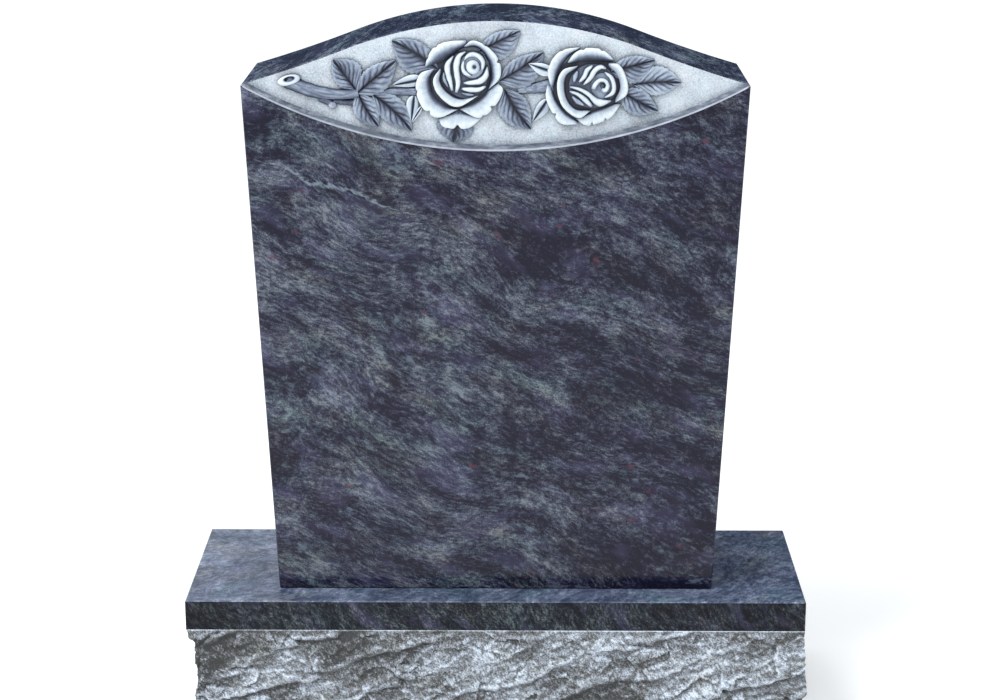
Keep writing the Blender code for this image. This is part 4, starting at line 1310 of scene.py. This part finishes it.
def mean_around(depth):
    """The mean of the points near each one, round the base and up and down it."""
    span = 2 * CREST_REACH + 1
    around = sum(np.roll(depth, k - CREST_REACH, axis=1) for k in range(span)) / span
    padded = np.pad(around, ((CREST_REACH, CREST_REACH), (0, 0)), mode="edge")
    return sum(padded[k : k + len(depth)] for k in range(span)) / span


def build_base(materials):
    """The base: a polished top and band, and a finely split surface below."""
    rough_top = BASE_TOP - BASE_BAND
    rows = round(rough_top / ROCK_STEP)
    round_base = points_round_base()
    band = ((BASE_TOP, -BASE_ARRIS), (BASE_TOP - BASE_ARRIS, 0.0), (rough_top, 0.0))
    rings = [band_ring(round_base, height, out) for height, out in band]
    depths = [[0.0] * len(round_base) for _ in band]
    for row in range(1, rows + 1):
        ring, ring_depths = rock_ring(round_base, rough_top * (1 - row / rows))
        rings.append(ring)
        depths.append(ring_depths)
    base = loft(rings, "base_stone")
    depth = np.array(depths)
    # paler crests, partly bruised stone and partly painted highlight, and painted shade in the hollows
    edge = np.clip((depth - mean_around(depth)) / CREST_HEIGHT, *CREST_RANGE)
    # painted light on the stone that faces up
    painted_top_light = np.clip(np.gradient(depth, axis=0) / (PALE_SLOPE * ROCK_STEP), 0, 1)
    # the line where the rough stone begins: partly bruised, partly a painted highlight
    edge[: len(band)] = BORDER_BRUISE_AND_HIGHLIGHT
    painted_top_light[: len(band)] = 0.0
    point_values(base, "edge", edge)
    point_values(base, "painted_top_light", painted_top_light)
    for name in ("base_polished", "pitched", "base_top"):
        base.data.materials.append(materials[name])
    for face in base.data.polygons:
        if face.center.z < rough_top:
            face.material_index = 1
        # the top's paler tones also go on its eased edge, as a painted glint along it
        elif face.normal.z > 0.5:
            face.material_index = 2
    base.data.shade_smooth()
    base.data.set_sharp_from_angle(angle=math.radians(38))
    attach(base, "root")
    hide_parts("base")


# Studio


def build_camera():
    data = bpy.data.cameras.new("camera")
    data.sensor_width = CAMERA_SENSOR
    data.lens = CAMERA_LENS
    camera = bpy.data.objects.new("camera", data)
    camera.location = CAMERA_PLACE
    camera.rotation_euler = (math.pi / 2 - CAMERA_PITCH, 0, CAMERA_YAW)
    bpy.context.scene.collection.objects.link(camera)
    bpy.context.scene.camera = camera


def area_light(name, place, target, size, power):
    data = bpy.data.lights.new(name, "AREA")
    data.size = size
    data.energy = power
    light = bpy.data.objects.new(name, data)
    light.location = place
    light.rotation_euler = (Vector(target) - Vector(place)).to_track_quat("-Z", "Y").to_euler()
    bpy.context.scene.collection.objects.link(light)


def plane(name, corners, material):
    mesh = bpy.data.meshes.new(name)
    mesh.from_pydata(corners, [], [(0, 1, 2, 3)])
    mesh.materials.append(material)
    obj = bpy.data.objects.new(name, mesh)
    bpy.context.scene.collection.objects.link(obj)
    return obj


def dark_flag(name, left, right, low, high, material):
    """A dark card behind the stone, seen only where the polished top surfaces mirror it."""
    corners = [(left, FLAG_DISTANCE, low), (right, FLAG_DISTANCE, low),
               (right, FLAG_DISTANCE, high), (left, FLAG_DISTANCE, high)]
    card = plane(name, corners, material)
    card.visible_camera = False
    card.visible_diffuse = False
    card.visible_shadow = False


def build_studio():
    world = bpy.data.worlds.new("studio")
    bpy.context.scene.world = world
    world.use_nodes = True
    backdrop = world.node_tree.nodes["Background"]
    backdrop.inputs["Color"].default_value = SKY
    backdrop.inputs["Strength"].default_value = SKY_STRENGTH
    area_light("key", KEY_PLACE, KEY_TARGET, KEY_SIZE, KEY_POWER)
    paper = Shader("pale_floor")
    mottle = paper.noise(paper.place, *FLOOR_MOTTLE)
    white = paper.finish(paper.mix(mottle, *FLOOR_TONES), roughness=0.9)
    paper.surface.inputs["Emission Color"].default_value = (1.0, 1.0, 1.0, 1.0)
    paper.surface.inputs["Emission Strength"].default_value = FLOOR_GLOW
    half = FLOOR_HALF
    plane("floor", [(-half, -half, 0), (half, -half, 0), (half, half, 0), (-half, half, 0)], white)
    felt = Shader("dark_felt")
    black = felt.finish(felt.mix(felt.noise(felt.place, *FELT_NAP), *FELT_TONES), roughness=0.95)
    dark_flag("upper_flag", -FLAG_HALF, FLAG_HALF, FLAG_SPLIT, FLAG_TOP, black)
    dark_flag("right_flag", 0.0, FLAG_HALF, 0.0, FLAG_SPLIT, black)
    bpy.context.scene.view_settings.view_transform = "Standard"


def main():
    build_camera()
    build_studio()
    materials = {
        "polished": granite(
            "polished_granite", TABLET_TONES, TABLET_FLOW, roughness=0.16, crystals=0.75,
            side_light=TABLET_SIDE_LIGHT, vein=STONE_VEIN,
        ),
        "crown": granite("polished_crown", CROWN_TONES, TABLET_FLOW, roughness=0.20),
        "frosted": frosted_granite(),
        "slope": honed_granite("honed_slope", SLOPE_TONES),
        # paler tones: painted highlight along the panel's eased edge
        "arris": honed_granite("honed_arris", EASED_HIGHLIGHT_TONES),
        "base_polished": granite(
            "polished_band", BAND_TONES, BAND_FLOW, roughness=0.18, middle=0.34, patchy=0.18,
            wispy=0.15, ior=BAND_IOR,
        ),
        "base_top": granite(
            "polished_top", BASE_TOP_TONES, BASE_TOP_FLOW, roughness=0.28,
            stretch=BASE_TOP_STRETCH, patchy=0.26, ior=BASE_TOP_IOR,
        ),
        "pitched": pitched_granite(),
    }
    build_tablet(materials)
    build_carving(carved_granite())
    build_base(materials)


main()
